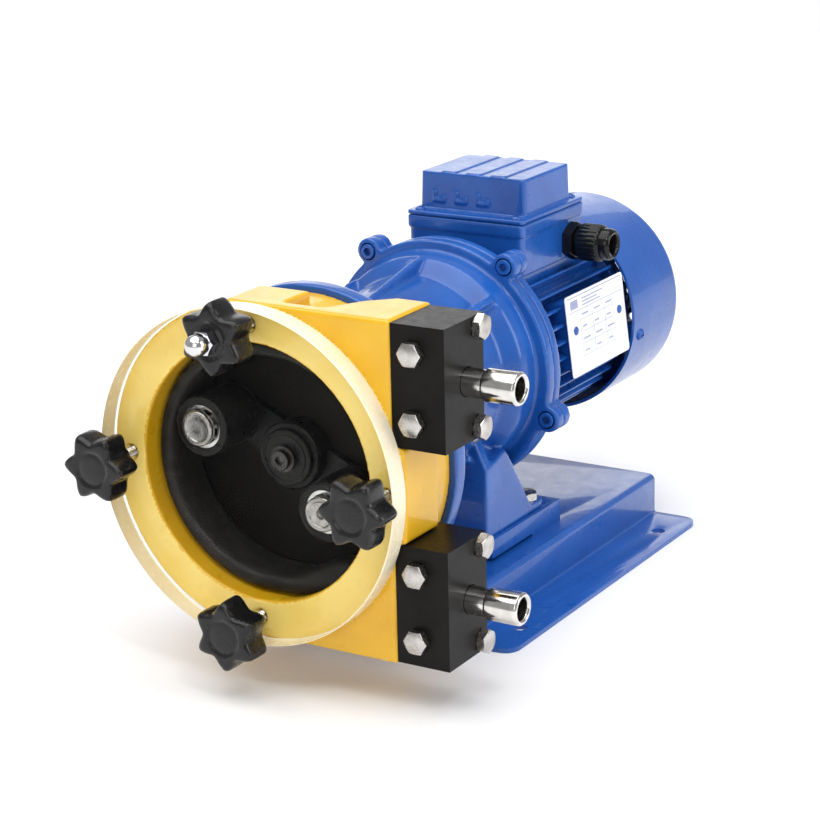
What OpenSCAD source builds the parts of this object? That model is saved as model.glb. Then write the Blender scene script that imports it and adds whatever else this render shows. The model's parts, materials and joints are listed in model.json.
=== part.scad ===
// Two-roller hose pump with a foot-mounted gearmotor on a folded sheet base.
// Origin: centre of the base's four fixing holes, on the underside. +Y runs from the
// pump head to the motor, +X to the hose ports, +Z up. Millimetres.

/* [Base] */
// Width over the two side flanges
base_w = 220; // [216:1:230]
// Length of the base
base_len = 265; // [262:1:300]
// Height of the channel
base_h = 30; // [26:1:36]
// Sheet thickness
sheet_t = 3; // [2:0.5:4]
// Diameter of the fixing holes
base_hole_d = 9; // [7:0.5:11]

/* [Pump head] */
// Height of the pump axis above the floor
axis_z = 128; // [126:1:140]
// Diameter of the clear front cover
cover_d = 200; // [198:1:204]
// Thickness of the clear front cover
cover_t = 14; // [8:1:16]
// Radius of the hose track
track_r = 77; // [77:0.5:78]
// Depth of the pump housing
housing_depth = 62; // [62:1:64]
// Radius of the circle that the cover studs stand on
stud_circle_r = 87.5; // [86:0.5:88]

/* [Rotor] */
// Radius of the roller orbit
orbit_r = 46; // [44:0.5:46]
// Radius of a roller
roller_r = 18; // [17:0.5:18]
// Angle of the first roller at rest
rotor_angle = 155; // [120:1:160]

/* [Hose] */
// Outer diameter of the round hose
hose_d = 26; // [25:0.5:26]

/* [Ports] */
// Height of each nipple above or below the pump axis
port_z = 63.5; // [63:0.5:64]
// Depth of the nipples behind the housing face
port_y = 26; // [25.5:0.5:26.5]
// Outer diameter of the nipple end
nipple_d = 19; // [17:0.5:21]
// Bore of a nipple
nipple_bore_d = 13; // [11:0.5:14]
// Distance of the nipple tips from the pump axis
nipple_tip_x = 158.5; // [150:0.5:170]

/* [Gearmotor] */
// Height of the motor axis above the pump axis
motor_rise = 13.8; // [13.8:0.1:13.8]
// Number of cooling fins in a full circle
fin_count = 36; // [24:2:44]
// Diameter of the fan cover
fan_cover_d = 138.6; // [136:0.2:142]

/* [Hidden] */
$fn = 48;
run_gap = 0.03;          // radial running clearance
fit_gap = 0.02;          // radial clearance of parts that do not move

// base
base_hole_x = 96.5;
base_hole_y = 97.5;
base_wall_x = 77;
bend_r = 4.5;
base_front_y = 100;      // from the housing face
face_y = -(base_front_y + base_len / 2);

// pump head, measured from the housing face on the pump axis
chamber_depth = 50;
plate_t = 10;
drum_r = 92;
side_x = 91.3;
boss_x = 94;
top_z = 100;
block_x = 125;
block_half = 35.2;
block_y0 = 1.3;
block_y1 = 44;
hose_y = 26;
hose_in_r = orbit_r + roller_r + 0.4;
hose_out_r = track_r - 0.3;
hose_end_x = 105;
hose_wall_w = 16;        // half width of the squeezed hose
roller_y0 = 8;
roller_y1 = 43;
arm_y0 = 44;
arm_y1 = 49.4;
shaft_r = 10;
pin_r = 6;
stud_r = 4;
screw_r = 3;
housing_bolt_r = 85;
front_bolt_dz = 19.7;
side_bolt_dz = 28.7;
front_bolt_x = 105.4;
side_bolt_y = 37.5;
seat_z = port_z - block_half - 0.1;   // lower edge of the upper seat

// knobs
knob_r = 21.5;
knob_hub_y = -cover_t - 7;
knob_face_y = -cover_t - 26;

// gearbox
flange_y1 = 74;
front_wall_y0 = 96;
front_wall_y1 = 112;
web_y0 = 160;
web_y1 = 176;
case_flange_y0 = 204;
case_y1 = 213;
case_r = 80.5;
case_z = 11.8;
lug_r = 8.5;
lug_seat_y = 209;
oil_seat_x = 62;
lug_places = [[49.3, 80.3], [-49.3, 80.3], [78.6, -14.3], [-78.6, -14.3], [0, -66]];
out_module = 1.5;
out_teeth = 42;
out_pinion_teeth = 14;
in_module = 1;
in_teeth = 50;
in_pinion_teeth = 14;
out_centre = out_module * (out_teeth + out_pinion_teeth) / 2;
in_centre = in_module * (in_teeth + in_pinion_teeth) / 2;
mid_z = (pow(out_centre, 2) - pow(in_centre, 2) + pow(motor_rise, 2)) / (2 * motor_rise);
mid_x = -sqrt(pow(out_centre, 2) - pow(mid_z, 2));
out_gear_y = 120;
out_gear_w = 20;
in_gear_y = 196;
in_gear_w = 12;
mid_r = 6;
mid_bearing_r = 14;

// foot
foot_x = 59;
foot_y0 = 162;
foot_y1 = 220;
foot_z = -84;
foot_t = 6;
pad_z = base_h - axis_z;
foot_bolts_at = [[43, 180], [51, 228], [-43, 180], [-51, 228]];
foot_toe_y = 236;

// motor
frame_y0 = 222;
frame_y1 = 355;
frame_r = 50;
frame_bore_r = 45;
fin_r = 62;
motor_shaft_r = 8.5;
core_y0 = 250;
core_y1 = 330;
cover_y0 = 348;
cover_y1 = 420;
cover_screw_a = -10;
cover_screw_y = 359;
cover_wall = 2;
box_x = 42.5;
box_y0 = 241;
box_y1 = 326.5;
box_z0 = 64;
box_floor = 66;
box_z1 = 98;
lid_x = 38.7;
lid_y0 = 252;
lid_y1 = 315;
lid_z1 = 125.7;
gland_y = 307;
gland_z = 75.3;
plate_angle = 7;
plate_r = 64;
plate_y0 = 263;
plate_y1 = 344.5;
plate_half = 26.6;
rivets_y = [273, 335];
rivet_z = 3;

// all sub-parts

// ---- helpers: all lengths along Y unless named otherwise ----

module head() translate([0, face_y, axis_z]) children();

module motor_axis() translate([0, 0, motor_rise]) children();

module mid_axis() translate([mid_x, 0, mid_z]) children();

module rod(r, y0, y1, x = 0, z = 0)
    translate([x, y0, z]) rotate([-90, 0, 0]) cylinder(r = r, h = y1 - y0);

module tube(ro, ri, y0, y1, x = 0, z = 0)
    difference() {
        rod(ro, y0, y1, x, z);
        rod(ri, y0 - 1, y1 + 1, x, z);
    }

module rod_x(r, x0, x1, y, z)
    translate([x0, y, z]) rotate([0, 90, 0]) cylinder(r = r, h = x1 - x0);

module rod_z(r, z0, z1, x, y) translate([x, y, z0]) cylinder(r = r, h = z1 - z0);

module block(x0, x1, y0, y1, z0, z1)
    translate([x0, y0, z0]) cube([x1 - x0, y1 - y0, z1 - z0]);

// an outline in X and Z, made solid from y0 to y1
module slab(y0, y1)
    translate([0, y1, 0]) rotate([90, 0, 0]) linear_extrude(height = y1 - y0) children();

// a profile of [radius, y] points turned about Y
module turned(points) rotate([-90, 0, 0]) rotate_extrude() polygon(points);

module hex(across, y0, y1, x = 0, z = 0)
    translate([x, y0, z]) rotate([-90, 0, 0])
        cylinder(r = across / sqrt(3), h = y1 - y0, $fn = 6);

module around(r, count, start = 0)
    for (i = [0 : count - 1])
        let (a = start + i * 360 / count)
            translate([r * cos(a), 0, r * sin(a)]) children();

// outer ring, inner ring and balls
module ball_bearing(bore_r, outer_r, y0, y1, balls = 8) {
    pitch = (bore_r + outer_r) / 2;
    ball_r = (outer_r - bore_r) * 0.27;
    race = (outer_r - bore_r) * 0.3;
    mid = (y0 + y1) / 2;
    difference() {
        tube(outer_r - fit_gap, outer_r - race, y0, y1);
        rotate([-90, 0, 0]) translate([0, 0, mid]) rotate_extrude()
            translate([pitch, 0]) circle(r = ball_r + 0.05);
    }
    difference() {
        tube(bore_r + race, bore_r + run_gap, y0, y1);
        rotate([-90, 0, 0]) translate([0, 0, mid]) rotate_extrude()
            translate([pitch, 0]) circle(r = ball_r + 0.05);
    }
    translate([0, mid, 0]) around(pitch, balls) sphere(r = ball_r, $fn = 24);
}

// ---- gears ----

function involute(a) = tan(a) - a * PI / 180;

// half the angle that a tooth takes up at radius r, in degrees
function tooth_half(r, pitch_r, teeth, slack) =
    let (base_r = pitch_r * cos(20),
         a = r > base_r ? acos(base_r / r) : 0)
    90 / teeth - slack / pitch_r * 90 / PI
        + (involute(20) - involute(a)) * 180 / PI;

function tooth(m, teeth, i) =
    let (pitch_r = m * teeth / 2,
         root = pitch_r - 1.15 * m,
         steps = [root, max(root + 0.01, pitch_r * 0.955), pitch_r, pitch_r + 0.45 * m,
             pitch_r + 0.8 * m],
         mid = i * 360 / teeth)
    concat([for (r = steps) let (a = mid - tooth_half(r, pitch_r, teeth, 0.16)) r * [cos(a), sin(a)]],
        [for (k = [4 : -1 : 0]) let (r = steps[k], a = mid + tooth_half(r, pitch_r, teeth, 0.16))
            r * [cos(a), sin(a)]]);

module gear(m, teeth, bore_r, y0, y1, phase = 0)
    difference() {
        slab(y0, y1) rotate(phase)
            polygon([for (i = [0 : teeth - 1]) each tooth(m, teeth, i)]);
        rod(bore_r, y0 - 1, y1 + 1);
    }

// ---- fasteners ----

// hexagon head on the -Y side
module hex_bolt_y(r, x, z, seat_y, length) {
    hex(3.25 * r, seat_y - 1.4 * r, seat_y, x, z);
    rod(r, seat_y - 0.2, seat_y + length, x, z);
}

// socket head on the -Y side
module cap_screw_y(r, x, z, seat_y, length)
    difference() {
        union() {
            rod(1.6 * r, seat_y - 2 * r, seat_y, x, z);
            rod(r, seat_y - 0.2, seat_y + length, x, z);
        }
        hex(1.6 * r, seat_y - 2 * r - 1, seat_y - r, x, z);
    }

// ---- base ----

// the folded sheet, one half at a time, seen along Y
function arc_points(cx, cz, r, a0, a1, steps) =
    [for (i = [0 : steps]) let (a = a0 + (a1 - a0) * i / steps) [cx + r * cos(a), cz + r * sin(a)]];

module channel_outline() {
    inner_r = bend_r - sheet_t;
    half = concat(
        arc_points(base_wall_x - bend_r, base_h - bend_r, bend_r, 90, 0, 8),
        arc_points(base_wall_x + inner_r, bend_r, inner_r, 180, 270, 8),
        [[base_w / 2, sheet_t], [base_w / 2, 0]],
        arc_points(base_wall_x + inner_r, bend_r, bend_r, 270, 180, 8),
        arc_points(base_wall_x - bend_r, base_h - bend_r, inner_r, 0, 90, 8));
    last = len(half) - 1;
    polygon(concat(half, [for (i = [last : -1 : 0]) [-half[i][0], half[i][1]]]));
}

module base_channel() color("royalblue") {
    corner = 12;
    difference() {
        intersection() {
            slab(-base_len / 2, base_len / 2) channel_outline();
            union() {
                block(-base_w / 2 + corner, base_w / 2 - corner, -base_len / 2, base_len / 2, -1,
                    base_h + 1);
                block(-base_w / 2, base_w / 2, -base_len / 2 + corner, base_len / 2 - corner, -1,
                    base_h + 1);
                for (x = [-1, 1], y = [-1, 1])
                    rod_z(corner, -1, base_h + 1, x * (base_w / 2 - corner),
                        y * (base_len / 2 - corner));
            }
        }
        for (x = [-1, 1], y = [-1, 1])
            rod_z(base_hole_d / 2, -1, sheet_t + 1, x * base_hole_x, y * base_hole_y);
        for (p = foot_bolts_at)
            rod_z(stud_r + 0.5, base_h - sheet_t - 1, base_h + 1, p[0], p[1] + face_y);
    }
}

module riser_pad() color("royalblue") head()
    difference() {
        block(-62, 62, 163, 253.5, pad_z, foot_z);
        for (p = foot_bolts_at) rod_z(stud_r + 0.5, pad_z - 1, foot_z + 1, p[0], p[1]);
    }

module foot_bolts() color("silver") head()
    for (p = foot_bolts_at) {
        rod_z(stud_r, pad_z - 14, foot_z + foot_t + 0.5, p[0], p[1]);
        translate([p[0], p[1], foot_z + foot_t]) cylinder(r = 13 / sqrt(3), h = 5.5, $fn = 6);
    }

module foot_nuts() color("silver") head()
    for (p = foot_bolts_at)
        difference() {
            translate([p[0], p[1], pad_z - sheet_t - 6.5])
                cylinder(r = 13 / sqrt(3), h = 6.5, $fn = 6);
            rod_z(stud_r + fit_gap, pad_z - 30, pad_z, p[0], p[1]);
        }

// ---- gearbox ----

module gearcase_body() {
    rod(96, housing_depth, flange_y1);
    rod(56, flange_y1 - 1, front_wall_y1);
    motor_axis() turned([[0, 90], [52, 92], [56, 100], [57, 112], [61.5, 180], [70.8, 189.5],
        [72, case_flange_y0 + 1], [0, case_flange_y0 + 1]]);
    rod(case_r, case_flange_y0, case_y1, 0, case_z);
    lug_ring(case_flange_y0, case_y1);
    oil_axis() rod_x(9.5, 50, oil_seat_x, 0, 0);
}

module gearcase_ribs() motor_axis()
    for (a = [0 : 45 : 315]) if (a != 270)
        rotate([0, -a, 0]) translate([0, 0, -2.5]) linear_extrude(height = 5)
            polygon([[40, 73], [60, 73], [60, 125], [63, 140], [71.5, 180], [71.5, 189],
                [40, 189]]);

module gearcase_foot() {
    difference() {
        slab(foot_y0, foot_y0 + 9)
            polygon([[-foot_x, foot_z], [foot_x, foot_z], [foot_x, -39], [50, -20],
                [-50, -20], [-foot_x, -39]]);
        slab(foot_y0 - 1, foot_y0 + 10)
            polygon([[-34, foot_z - 1], [34, foot_z - 1], [34, foot_z + 10], [16, -52],
                [-16, -52], [-34, foot_z + 10]]);
    }
    for (s = [-1, 1]) {
        // the gusset of each leg, thinner towards the top
        translate([s > 0 ? foot_x : -foot_x + 7, 0, 0]) rotate([0, -90, 0])
            linear_extrude(height = 7)
                polygon([[foot_z, foot_y0], [foot_z, foot_y1], [foot_z + foot_t, foot_y1],
                    [-36.6, 191.6], [-31, 186], [-39, foot_y0]]);
        block(s > 0 ? 34 : -foot_x, s > 0 ? foot_x : -34, foot_y0, foot_toe_y, foot_z,
            foot_z + foot_t);
    }
    block(-40, 40, foot_y0 + 2, foot_y0 + 26, -64, -44);
}

module gearcase() color("royalblue") head()
    difference() {
        union() {
            gearcase_body();
            gearcase_ribs();
            gearcase_foot();
        }
        // lantern behind the flange
        rod(46, housing_depth + 2, 88);
        rod(11.5, housing_depth - 1, 100);
        // gear chamber
        motor_axis() {
            rod(53, front_wall_y1, web_y0);
            rod(59, web_y1, case_y1 + 1);
        }
        // bearing seats
        rod(21, front_wall_y0 + 2, front_wall_y1 + 1);
        rod(21, web_y0 + 2, web_y1 + 1);
        rod(11, web_y0 - 1, web_y1);
        mid_axis() {
            rod(mid_bearing_r, front_wall_y0 + 4, front_wall_y1 + 1);
            rod(mid_bearing_r, web_y0 - 1, web_y0 + 8);
            rod(mid_r + 2, web_y0 - 1, web_y1 + 1);
        }
        around(housing_bolt_r, 6, -6) rod(screw_r + 0.3, housing_depth - 1, flange_y1 + 1);
        for (p = lug_places) {
            rod(screw_r + 0.3, case_flange_y0 - 1, case_y1 + 1, p[0], p[1]);
            rod(6, case_flange_y0 - 1, lug_seat_y, p[0], p[1]);
        }
        for (p = foot_bolts_at)
            rod_z(stud_r + 0.5, foot_z - 1, foot_z + foot_t + 1, p[0], p[1]);
        oil_axis() rod_x(5, 50, 90, 0, 0);
    }

module oil_axis() motor_axis() rotate([0, 20, 0]) translate([0, 148, 0]) children();

module oil_plug() color("silver") head() oil_axis() {
    rod_x(5 - fit_gap, 54, oil_seat_x + 0.5, 0, 0);
    translate([oil_seat_x, 0, 0]) rotate([0, 90, 0]) cylinder(r = 14 / sqrt(3), h = 6, $fn = 6);
}

module output_bearings() color("silver") head() {
    ball_bearing(shaft_r, 21, front_wall_y0 + 2, front_wall_y0 + 14, 9);
    ball_bearing(shaft_r, 21, web_y0 + 2.5, web_y0 + 14.5, 9);
}

module intermediate_bearings() color("silver") head() mid_axis() {
    ball_bearing(mid_r, mid_bearing_r, front_wall_y0 + 4, front_wall_y0 + 12);
    ball_bearing(mid_r, mid_bearing_r, web_y0, web_y0 + 8);
}

module motor_bearings() color("silver") head() motor_axis() {
    ball_bearing(motor_shaft_r, 20, 216, 227, 8);
    ball_bearing(motor_shaft_r, 20, 350, 361, 8);
}

module output_shaft() color("gainsboro") head()
    difference() {
        union() {
            rod(shaft_r, 34, 178);
            rod(13, front_wall_y1, out_gear_y - 0.5);
        }
        rod(screw_r, 33, 54);
        block(-3, 3, out_gear_y - 1, out_gear_y + out_gear_w + 1, shaft_r - 3.5, shaft_r + 1);
        block(-3, 3, 33, 49.4, shaft_r - 3.5, shaft_r + 1);
    }

module shaft_key() color("silver") head() {
    block(-2.98, 2.98, out_gear_y, out_gear_y + out_gear_w, shaft_r - 3.45, shaft_r + 2.4);
    block(-2.98, 2.98, 36, 49, shaft_r - 3.45, shaft_r + 2.4);
}

module output_gear() color("silver") head()
    difference() {
        gear(out_module, out_teeth, shaft_r + fit_gap, out_gear_y, out_gear_y + out_gear_w);
        block(-3, 3, out_gear_y - 1, out_gear_y + out_gear_w + 1, 0, shaft_r + 2.5);
    }

// direction from the pump axis to the intermediate axis
mid_angle = atan2(mid_z, mid_x);
motor_angle = atan2(motor_rise - mid_z, -mid_x);
function mesh_phase(angle, own, other, other_phase) =
    angle + 180 + 180 / own + (angle - other_phase) * other / own;
mid_pinion_phase = mesh_phase(mid_angle, out_pinion_teeth, out_teeth, 0);
motor_pinion_phase = mesh_phase(motor_angle, in_pinion_teeth, in_teeth, 0);

module intermediate_shaft() color("gainsboro") head() mid_axis() {
    rod(mid_r, front_wall_y0 + 4, in_gear_y + in_gear_w + 1);
    gear(out_module, out_pinion_teeth, 2, out_gear_y - 2, out_gear_y + out_gear_w + 2,
        mid_pinion_phase);
}

module intermediate_gear() color("silver") head() mid_axis()
    gear(in_module, in_teeth, mid_r + fit_gap, in_gear_y, in_gear_y + in_gear_w);

module motor_shaft() color("gainsboro") head() motor_axis() {
    rod(5.5, in_gear_y - 2, 216);
    rod(motor_shaft_r, 215, 366);
    rod(6, 365, 396);
    gear(in_module, in_pinion_teeth, 2, in_gear_y - 1, in_gear_y + in_gear_w + 1,
        motor_pinion_phase);
}

module rotor_core() color("gray") head() motor_axis()
    tube(29.6, motor_shaft_r + fit_gap, core_y0, core_y1);

module cooling_fan() color("dimgray") head() motor_axis() {
    tube(12, 6 + fit_gap, 372, 392);
    tube(52, 11.9, 372, 375);
    for (a = [0 : 45 : 315])
        rotate([0, -a, 0]) block(11.5, 52, 374.5, 390, -1, 1);
}

// ---- motor ----

module lug_ring(y0, y1)
    for (p = lug_places) {
        rod(lug_r, y0, y1, p[0], p[1]);
        slab(y0, y1)
            polygon([[p[0] - 8, p[1]], [p[0] + 8, p[1]], [p[0] * 0.7 + 8, p[1] * 0.7 + 5],
                [p[0] * 0.7 - 8, p[1] * 0.7 + 5]]);
    }

module motor_flange() color("royalblue") head()
    difference() {
        union() {
            rod(case_r, case_y1, frame_y0 - 1, 0, case_z);
            lug_ring(case_y1, frame_y0 - 1);
            motor_axis() rod(66, case_y1, frame_y0);
            motor_axis() rod(frame_bore_r - fit_gap, frame_y0 - 1, 229);
        }
        motor_axis() {
            rod(20, 215, 230);
            rod(10.5, case_y1 - 1, 230);
            tube(38, 24, 217, 230);
        }
        for (p = lug_places) rod(screw_r + fit_gap, case_y1 - 1, frame_y0, p[0], p[1]);
    }

module flange_screws() color("dimgray") head()
    for (p = lug_places) cap_screw_y(screw_r, p[0], p[1], lug_seat_y - 0.01, 11);

module stator_frame() color("royalblue") head()
    difference() {
        union() {
            motor_axis() {
                rod(frame_r, frame_y0, frame_y1);
                difference() {
                    for (i = [0 : fin_count - 1])
                        rotate([0, -(i + 0.5) * 360 / fin_count, 0])
                            block(frame_r - 2, fin_r, frame_y0 + 4, frame_y1 - 2, -1.2, 1.2);
                    block(-44, 44, box_y0 - 2, box_y1 + 2, 46, 80);
                }
                rotate([0, -plate_angle, 0])
                    block(frame_r - 5, plate_r, plate_y0 + 4, plate_y1 - 4, -22, 22);
            }
            block(-38, 38, box_y0 + 4, box_y1 - 4, 40, box_floor);
        }
        motor_axis() rod(frame_bore_r, frame_y0 - 1, frame_y1 + 1);
        block(-18, 18, 262, 306, 50, box_floor + 1);
        motor_axis() rotate([0, -plate_angle, 0])
            for (y = rivets_y) rod_x(1.6, plate_r - 8, plate_r + 1, y, rivet_z);
    }

module stator_core() color("gray") head() motor_axis()
    tube(frame_bore_r - fit_gap, 30.1, core_y0, core_y1);

module stator_windings() color("peru") head() motor_axis()
    for (y = [[238, core_y0], [core_y1, 342]])
        rotate([-90, 0, 0]) rotate_extrude()
            polygon([[33, y[0] + 3], [36, y[0]], [40, y[0]], [43, y[0] + 3],
                [43, y[1] - 3], [40, y[1]], [36, y[1]], [33, y[1] - 3]]);

module cover_screw_axes()
    for (i = [0 : 3]) rotate([0, -cover_screw_a - i * 90, 0]) children();

module rear_end_shield() color("royalblue") head() motor_axis()
    difference() {
        union() {
            rod(56, frame_y1, 366);
            rod(frame_bore_r - fit_gap, 349, frame_y1 + 1);
            // lugs that carry the fan cover
            cover_screw_axes() block(50, fan_cover_d / 2 - cover_wall - 0.3, frame_y1, 365, -6, 6);
        }
        rod(20, 348, 361);
        rod(10.5, 348, 367);
        tube(38, 24, 348, 356);
        cover_screw_axes() rod_x(2.2 + fit_gap, 57, fan_cover_d, cover_screw_y, 0);
    }

module fan_cover() color("royalblue") head() motor_axis()
    difference() {
        r = fan_cover_d / 2;
        turned([[r - cover_wall, cover_y0], [r, cover_y0], [r, cover_y1 - 8], [r - 3, cover_y1 - 3],
            [r - 8, cover_y1], [0, cover_y1], [0, cover_y1 - 2], [r - 9, cover_y1 - 2],
            [r - 5, cover_y1 - 5], [r - 2, cover_y1 - 9]]);
        // air grille
        for (ring = [[16, 10], [27, 18], [38, 26], [49, 34]])
            around(ring[0], ring[1]) rod(3, cover_y1 - 4, cover_y1 + 1, $fn = 24);
        cover_screw_axes() rod_x(2.4, r - 4, r + 2, cover_screw_y, 0);
    }

module fan_cover_screws() color("dimgray") head() motor_axis()
    cover_screw_axes() {
        rod_x(4, fan_cover_d / 2 + 0.05, fan_cover_d / 2 + 2.4, cover_screw_y, 0);
        rod_x(2.2, 57.1, fan_cover_d / 2 + 0.3, cover_screw_y, 0);
    }

module nameplate() color("lightgray") head() motor_axis() rotate([0, -plate_angle, 0])
    difference() {
        block(plate_r, plate_r + 1, plate_y0, plate_y1, -plate_half, plate_half);
        for (y = rivets_y) rod_x(1.7, plate_r - 1, plate_r + 2, y, rivet_z);
    }

module nameplate_rivets() color("silver") head() motor_axis() rotate([0, -plate_angle, 0])
    for (y = rivets_y) {
        rod_x(1.5, plate_r - 6, plate_r + 1.5, y, rivet_z);
        rod_x(2.8, plate_r + 1.02, plate_r + 2.2, y, rivet_z);
    }

// ---- terminal box ----

module terminal_box() color("royalblue") head()
    difference() {
        block(-box_x, box_x, box_y0, box_y1, box_z0, box_z1);
        block(-38.1, 38.1, box_y0 + 3.9, box_y1 - 3.9, box_z0 - 1, box_floor);
        block(-box_x + 4, box_x - 4, box_y0 + 4, box_y1 - 4, box_floor + 3, box_z1 + 1);
        block(-16, 16, 264, 304, box_floor - 1, box_floor + 4);
        rod_x(10, box_x - 5, box_x + 1, gland_y, gland_z);
    }

module terminal_lid() color("royalblue") head()
    difference() {
        union() {
            block(-box_x, box_x, box_y0, box_y1, box_z1, box_z1 + 3);
            block(-lid_x, lid_x, lid_y0, lid_y1, box_z1, lid_z1);
        }
        block(-lid_x + 3, lid_x - 3, lid_y0 + 3, lid_y1 - 3, box_z1 - 1, lid_z1 - 3);
        for (x = [-35, 35], y = [246.5, 321]) rod_z(2.2, box_z1 - 1, box_z1 + 4, x, y);
    }

module terminal_lid_screws() color("dimgray") head()
    for (x = [-35, 35], y = [246.5, 321]) {
        rod_z(2, box_z1 + 0.05, box_z1 + 3.2, x, y);
        rod_z(3.4, box_z1 + 3.02, box_z1 + 5, x, y);
    }

module terminal_block() color("black") head() {
    block(-14, 14, 266, 302, box_floor + 9, box_floor + 17);
    for (x = [-8, 8], y = [272, 284, 296]) rod_z(2, box_floor + 16.9, box_floor + 27, x, y);
}

module gland_body() color("black") head()
    difference() {
        union() {
            rod_x(10 - fit_gap, box_x - 4.2, box_x + 1, gland_y, gland_z);
            translate([box_x, gland_y, gland_z]) rotate([0, 90, 0])
                cylinder(r = 12.6, h = 7, $fn = 6);
            rod_x(9, box_x + 6.9, box_x + 20, gland_y, gland_z);
        }
        rod_x(6.1, box_x - 5, box_x + 21, gland_y, gland_z);
    }

module gland_nut() color("black") head()
    difference() {
        union() {
            rod_x(12.4, box_x + 9, box_x + 24, gland_y, gland_z);
            rod_x(10.4, box_x + 23.9, box_x + 32, gland_y, gland_z);
        }
        rod_x(9 + fit_gap, box_x + 8, box_x + 22, gland_y, gland_z);
        rod_x(6.1, box_x + 8, box_x + 33, gland_y, gland_z);
    }

module gland_seal() color("dimgray") head()
    difference() {
        rod_x(6.05, box_x + 4, box_x + 21, gland_y, gland_z);
        rod_x(4, box_x + 3, box_x + 22, gland_y, gland_z);
    }

// ---- pump head ----

module corner_boss(side)
    translate([0, 0, side > 0 ? 20 : -top_z]) linear_extrude(height = top_z - 20)
        polygon([[40, plate_t - 1], [44, 12], [56, 33], [70, 46], [side_x, 46],
            [side_x, plate_t - 1]]);

// space for one hose leg, from the track out to the port
module leg_passage(side) {
    z = side * port_z;
    block(0, 48, roller_y0 + 0.5, roller_y1 + 0.5, side > 0 ? 49 : -track_r,
        side > 0 ? track_r : -49);
    rod_x(hose_d / 2 + 0.3, 46, side_x + 1, hose_y, z);
}

module pump_housing() color("gold") head()
    difference() {
        union() {
            slab(0, plate_t) union() {
                circle(r = cover_d / 2 - 1, $fn = 96);
                translate([0, -top_z]) square([side_x, 2 * top_z]);
            }
            rod(drum_r, plate_t - 1, housing_depth);
            corner_boss(1);
            corner_boss(-1);
            // bosses of the cover studs
            block(-17, 17, 1, 37, 70, top_z);
            block(-17, 17, 1, 37, -top_z, -70);
            block(70, boss_x, 0, 37, -27.5, 27.5);
            block(-boss_x, -70, 1, 37, -17, 17);
        }
        rod(track_r, -1, chamber_depth, $fn = 96);
        leg_passage(1);
        leg_passage(-1);
        rod(12, chamber_depth - 1, housing_depth + 1);
        rod(17.5, 54, housing_depth + 1);
        around(stud_circle_r, 4) rod(stud_r + fit_gap, -1, 28);
        around(housing_bolt_r, 6, -6) rod(screw_r + fit_gap, 44, housing_depth + 1);
        for (side = [-1, 1], dz = [-side_bolt_dz, side_bolt_dz])
            rod_x(stud_r + fit_gap, 78, side_x + 1, side_bolt_y, side * port_z + dz);
        // flat seats of the port blocks
        for (side = [-1, 1])
            block(side_x, cover_d, -1, housing_depth + 1, side > 0 ? seat_z : -cover_d,
                side > 0 ? cover_d : -seat_z);
    }

module shaft_seal() color("black") head()
    tube(17.5 - fit_gap, shaft_r + run_gap, 54.5, 61.5);

module housing_bolts() color("silver") head()
    around(housing_bolt_r, 6, -6) {
        rod(screw_r, 45, flange_y1 + 0.5);
        hex(10, flange_y1 + 0.01, flange_y1 + 4.2);
    }

function smooth(t) = let (c = min(1, max(0, t))) c * c * (3 - 2 * c);

// The hose's path: the length [0..1] along the upper leg, the arc and the lower leg.
// Each step gives [centre x, centre z, outward x, outward z, half thickness, half width].
function leg_step(x, side) =
    let (open = smooth((x - 12) / 36),
         inner = hose_in_r + (port_z - hose_d / 2 - hose_in_r) * open,
         outer = hose_out_r + (port_z + hose_d / 2 - hose_out_r) * open)
    [x, side * (inner + outer) / 2, 0, side, (outer - inner) / 2,
        hose_wall_w + (hose_d / 2 - hose_wall_w) * open];

function arc_step(a) =
    let (mid = (hose_in_r + hose_out_r) / 2)
    [mid * cos(a), mid * sin(a), cos(a), sin(a), (hose_out_r - hose_in_r) / 2, hose_wall_w];

hose_steps = concat(
    [for (x = [hose_end_x, 60]) leg_step(x, 1)],
    [for (x = [48 : -4 : 4]) leg_step(x, 1)],
    [for (a = [90 : 7.5 : 270]) arc_step(a)],
    [for (x = [4 : 4 : 48]) leg_step(x, -1)],
    [for (x = [60, hose_end_x]) leg_step(x, -1)]);

hose_sides = 20;

// a round when the two halves are equal, else a flattened oval
function hose_point(s, k) =
    let (a = k * 360 / hose_sides,
         flat = s[5] / s[4] > 1.05 ? 0.72 : 1,
         c = sign(cos(a)) * pow(abs(cos(a)), flat),
         d = sign(sin(a)) * pow(abs(sin(a)), flat))
    [s[0] + s[2] * s[4] * c, hose_y + s[5] * d, s[1] + s[3] * s[4] * c];

module hose() color("black") head() {
    rings = len(hose_steps);
    points = [for (s = hose_steps, k = [0 : hose_sides - 1]) hose_point(s, k)];
    walls = [for (i = [0 : rings - 2], k = [0 : hose_sides - 1])
        let (n = (k + 1) % hose_sides)
        [i * hose_sides + k, (i + 1) * hose_sides + k, (i + 1) * hose_sides + n, i * hose_sides + n]];
    caps = [[for (k = [0 : hose_sides - 1]) k],
        [for (k = [hose_sides - 1 : -1 : 0]) (rings - 1) * hose_sides + k]];
    polyhedron(points = points, faces = concat(walls, caps));
}

module port_block(side) {
    z = side * port_z;
    difference() {
        block(side_x, block_x, block_y0, block_y1, z - block_half, z + block_half);
        rod_x(hose_d / 2 + 0.3, side_x - 1, hose_end_x + 0.5, hose_y, z);
        rod_x(11.2, hose_end_x, 112, port_y, z);
        rod_x(8.3, 111, block_x + 1, port_y, z);
        for (dz = [-front_bolt_dz, front_bolt_dz])
            rod(stud_r + fit_gap, block_y0 - 1, 36, front_bolt_x, z + dz);
        for (dz = [-side_bolt_dz, side_bolt_dz])
            rod_x(stud_r + 0.3, side_x - 1, block_x + 1, side_bolt_y, z + dz);
    }
}

module upper_port_block() color([0.1, 0.1, 0.1]) head() port_block(1);
module lower_port_block() color([0.1, 0.1, 0.1]) head() port_block(-1);

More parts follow.
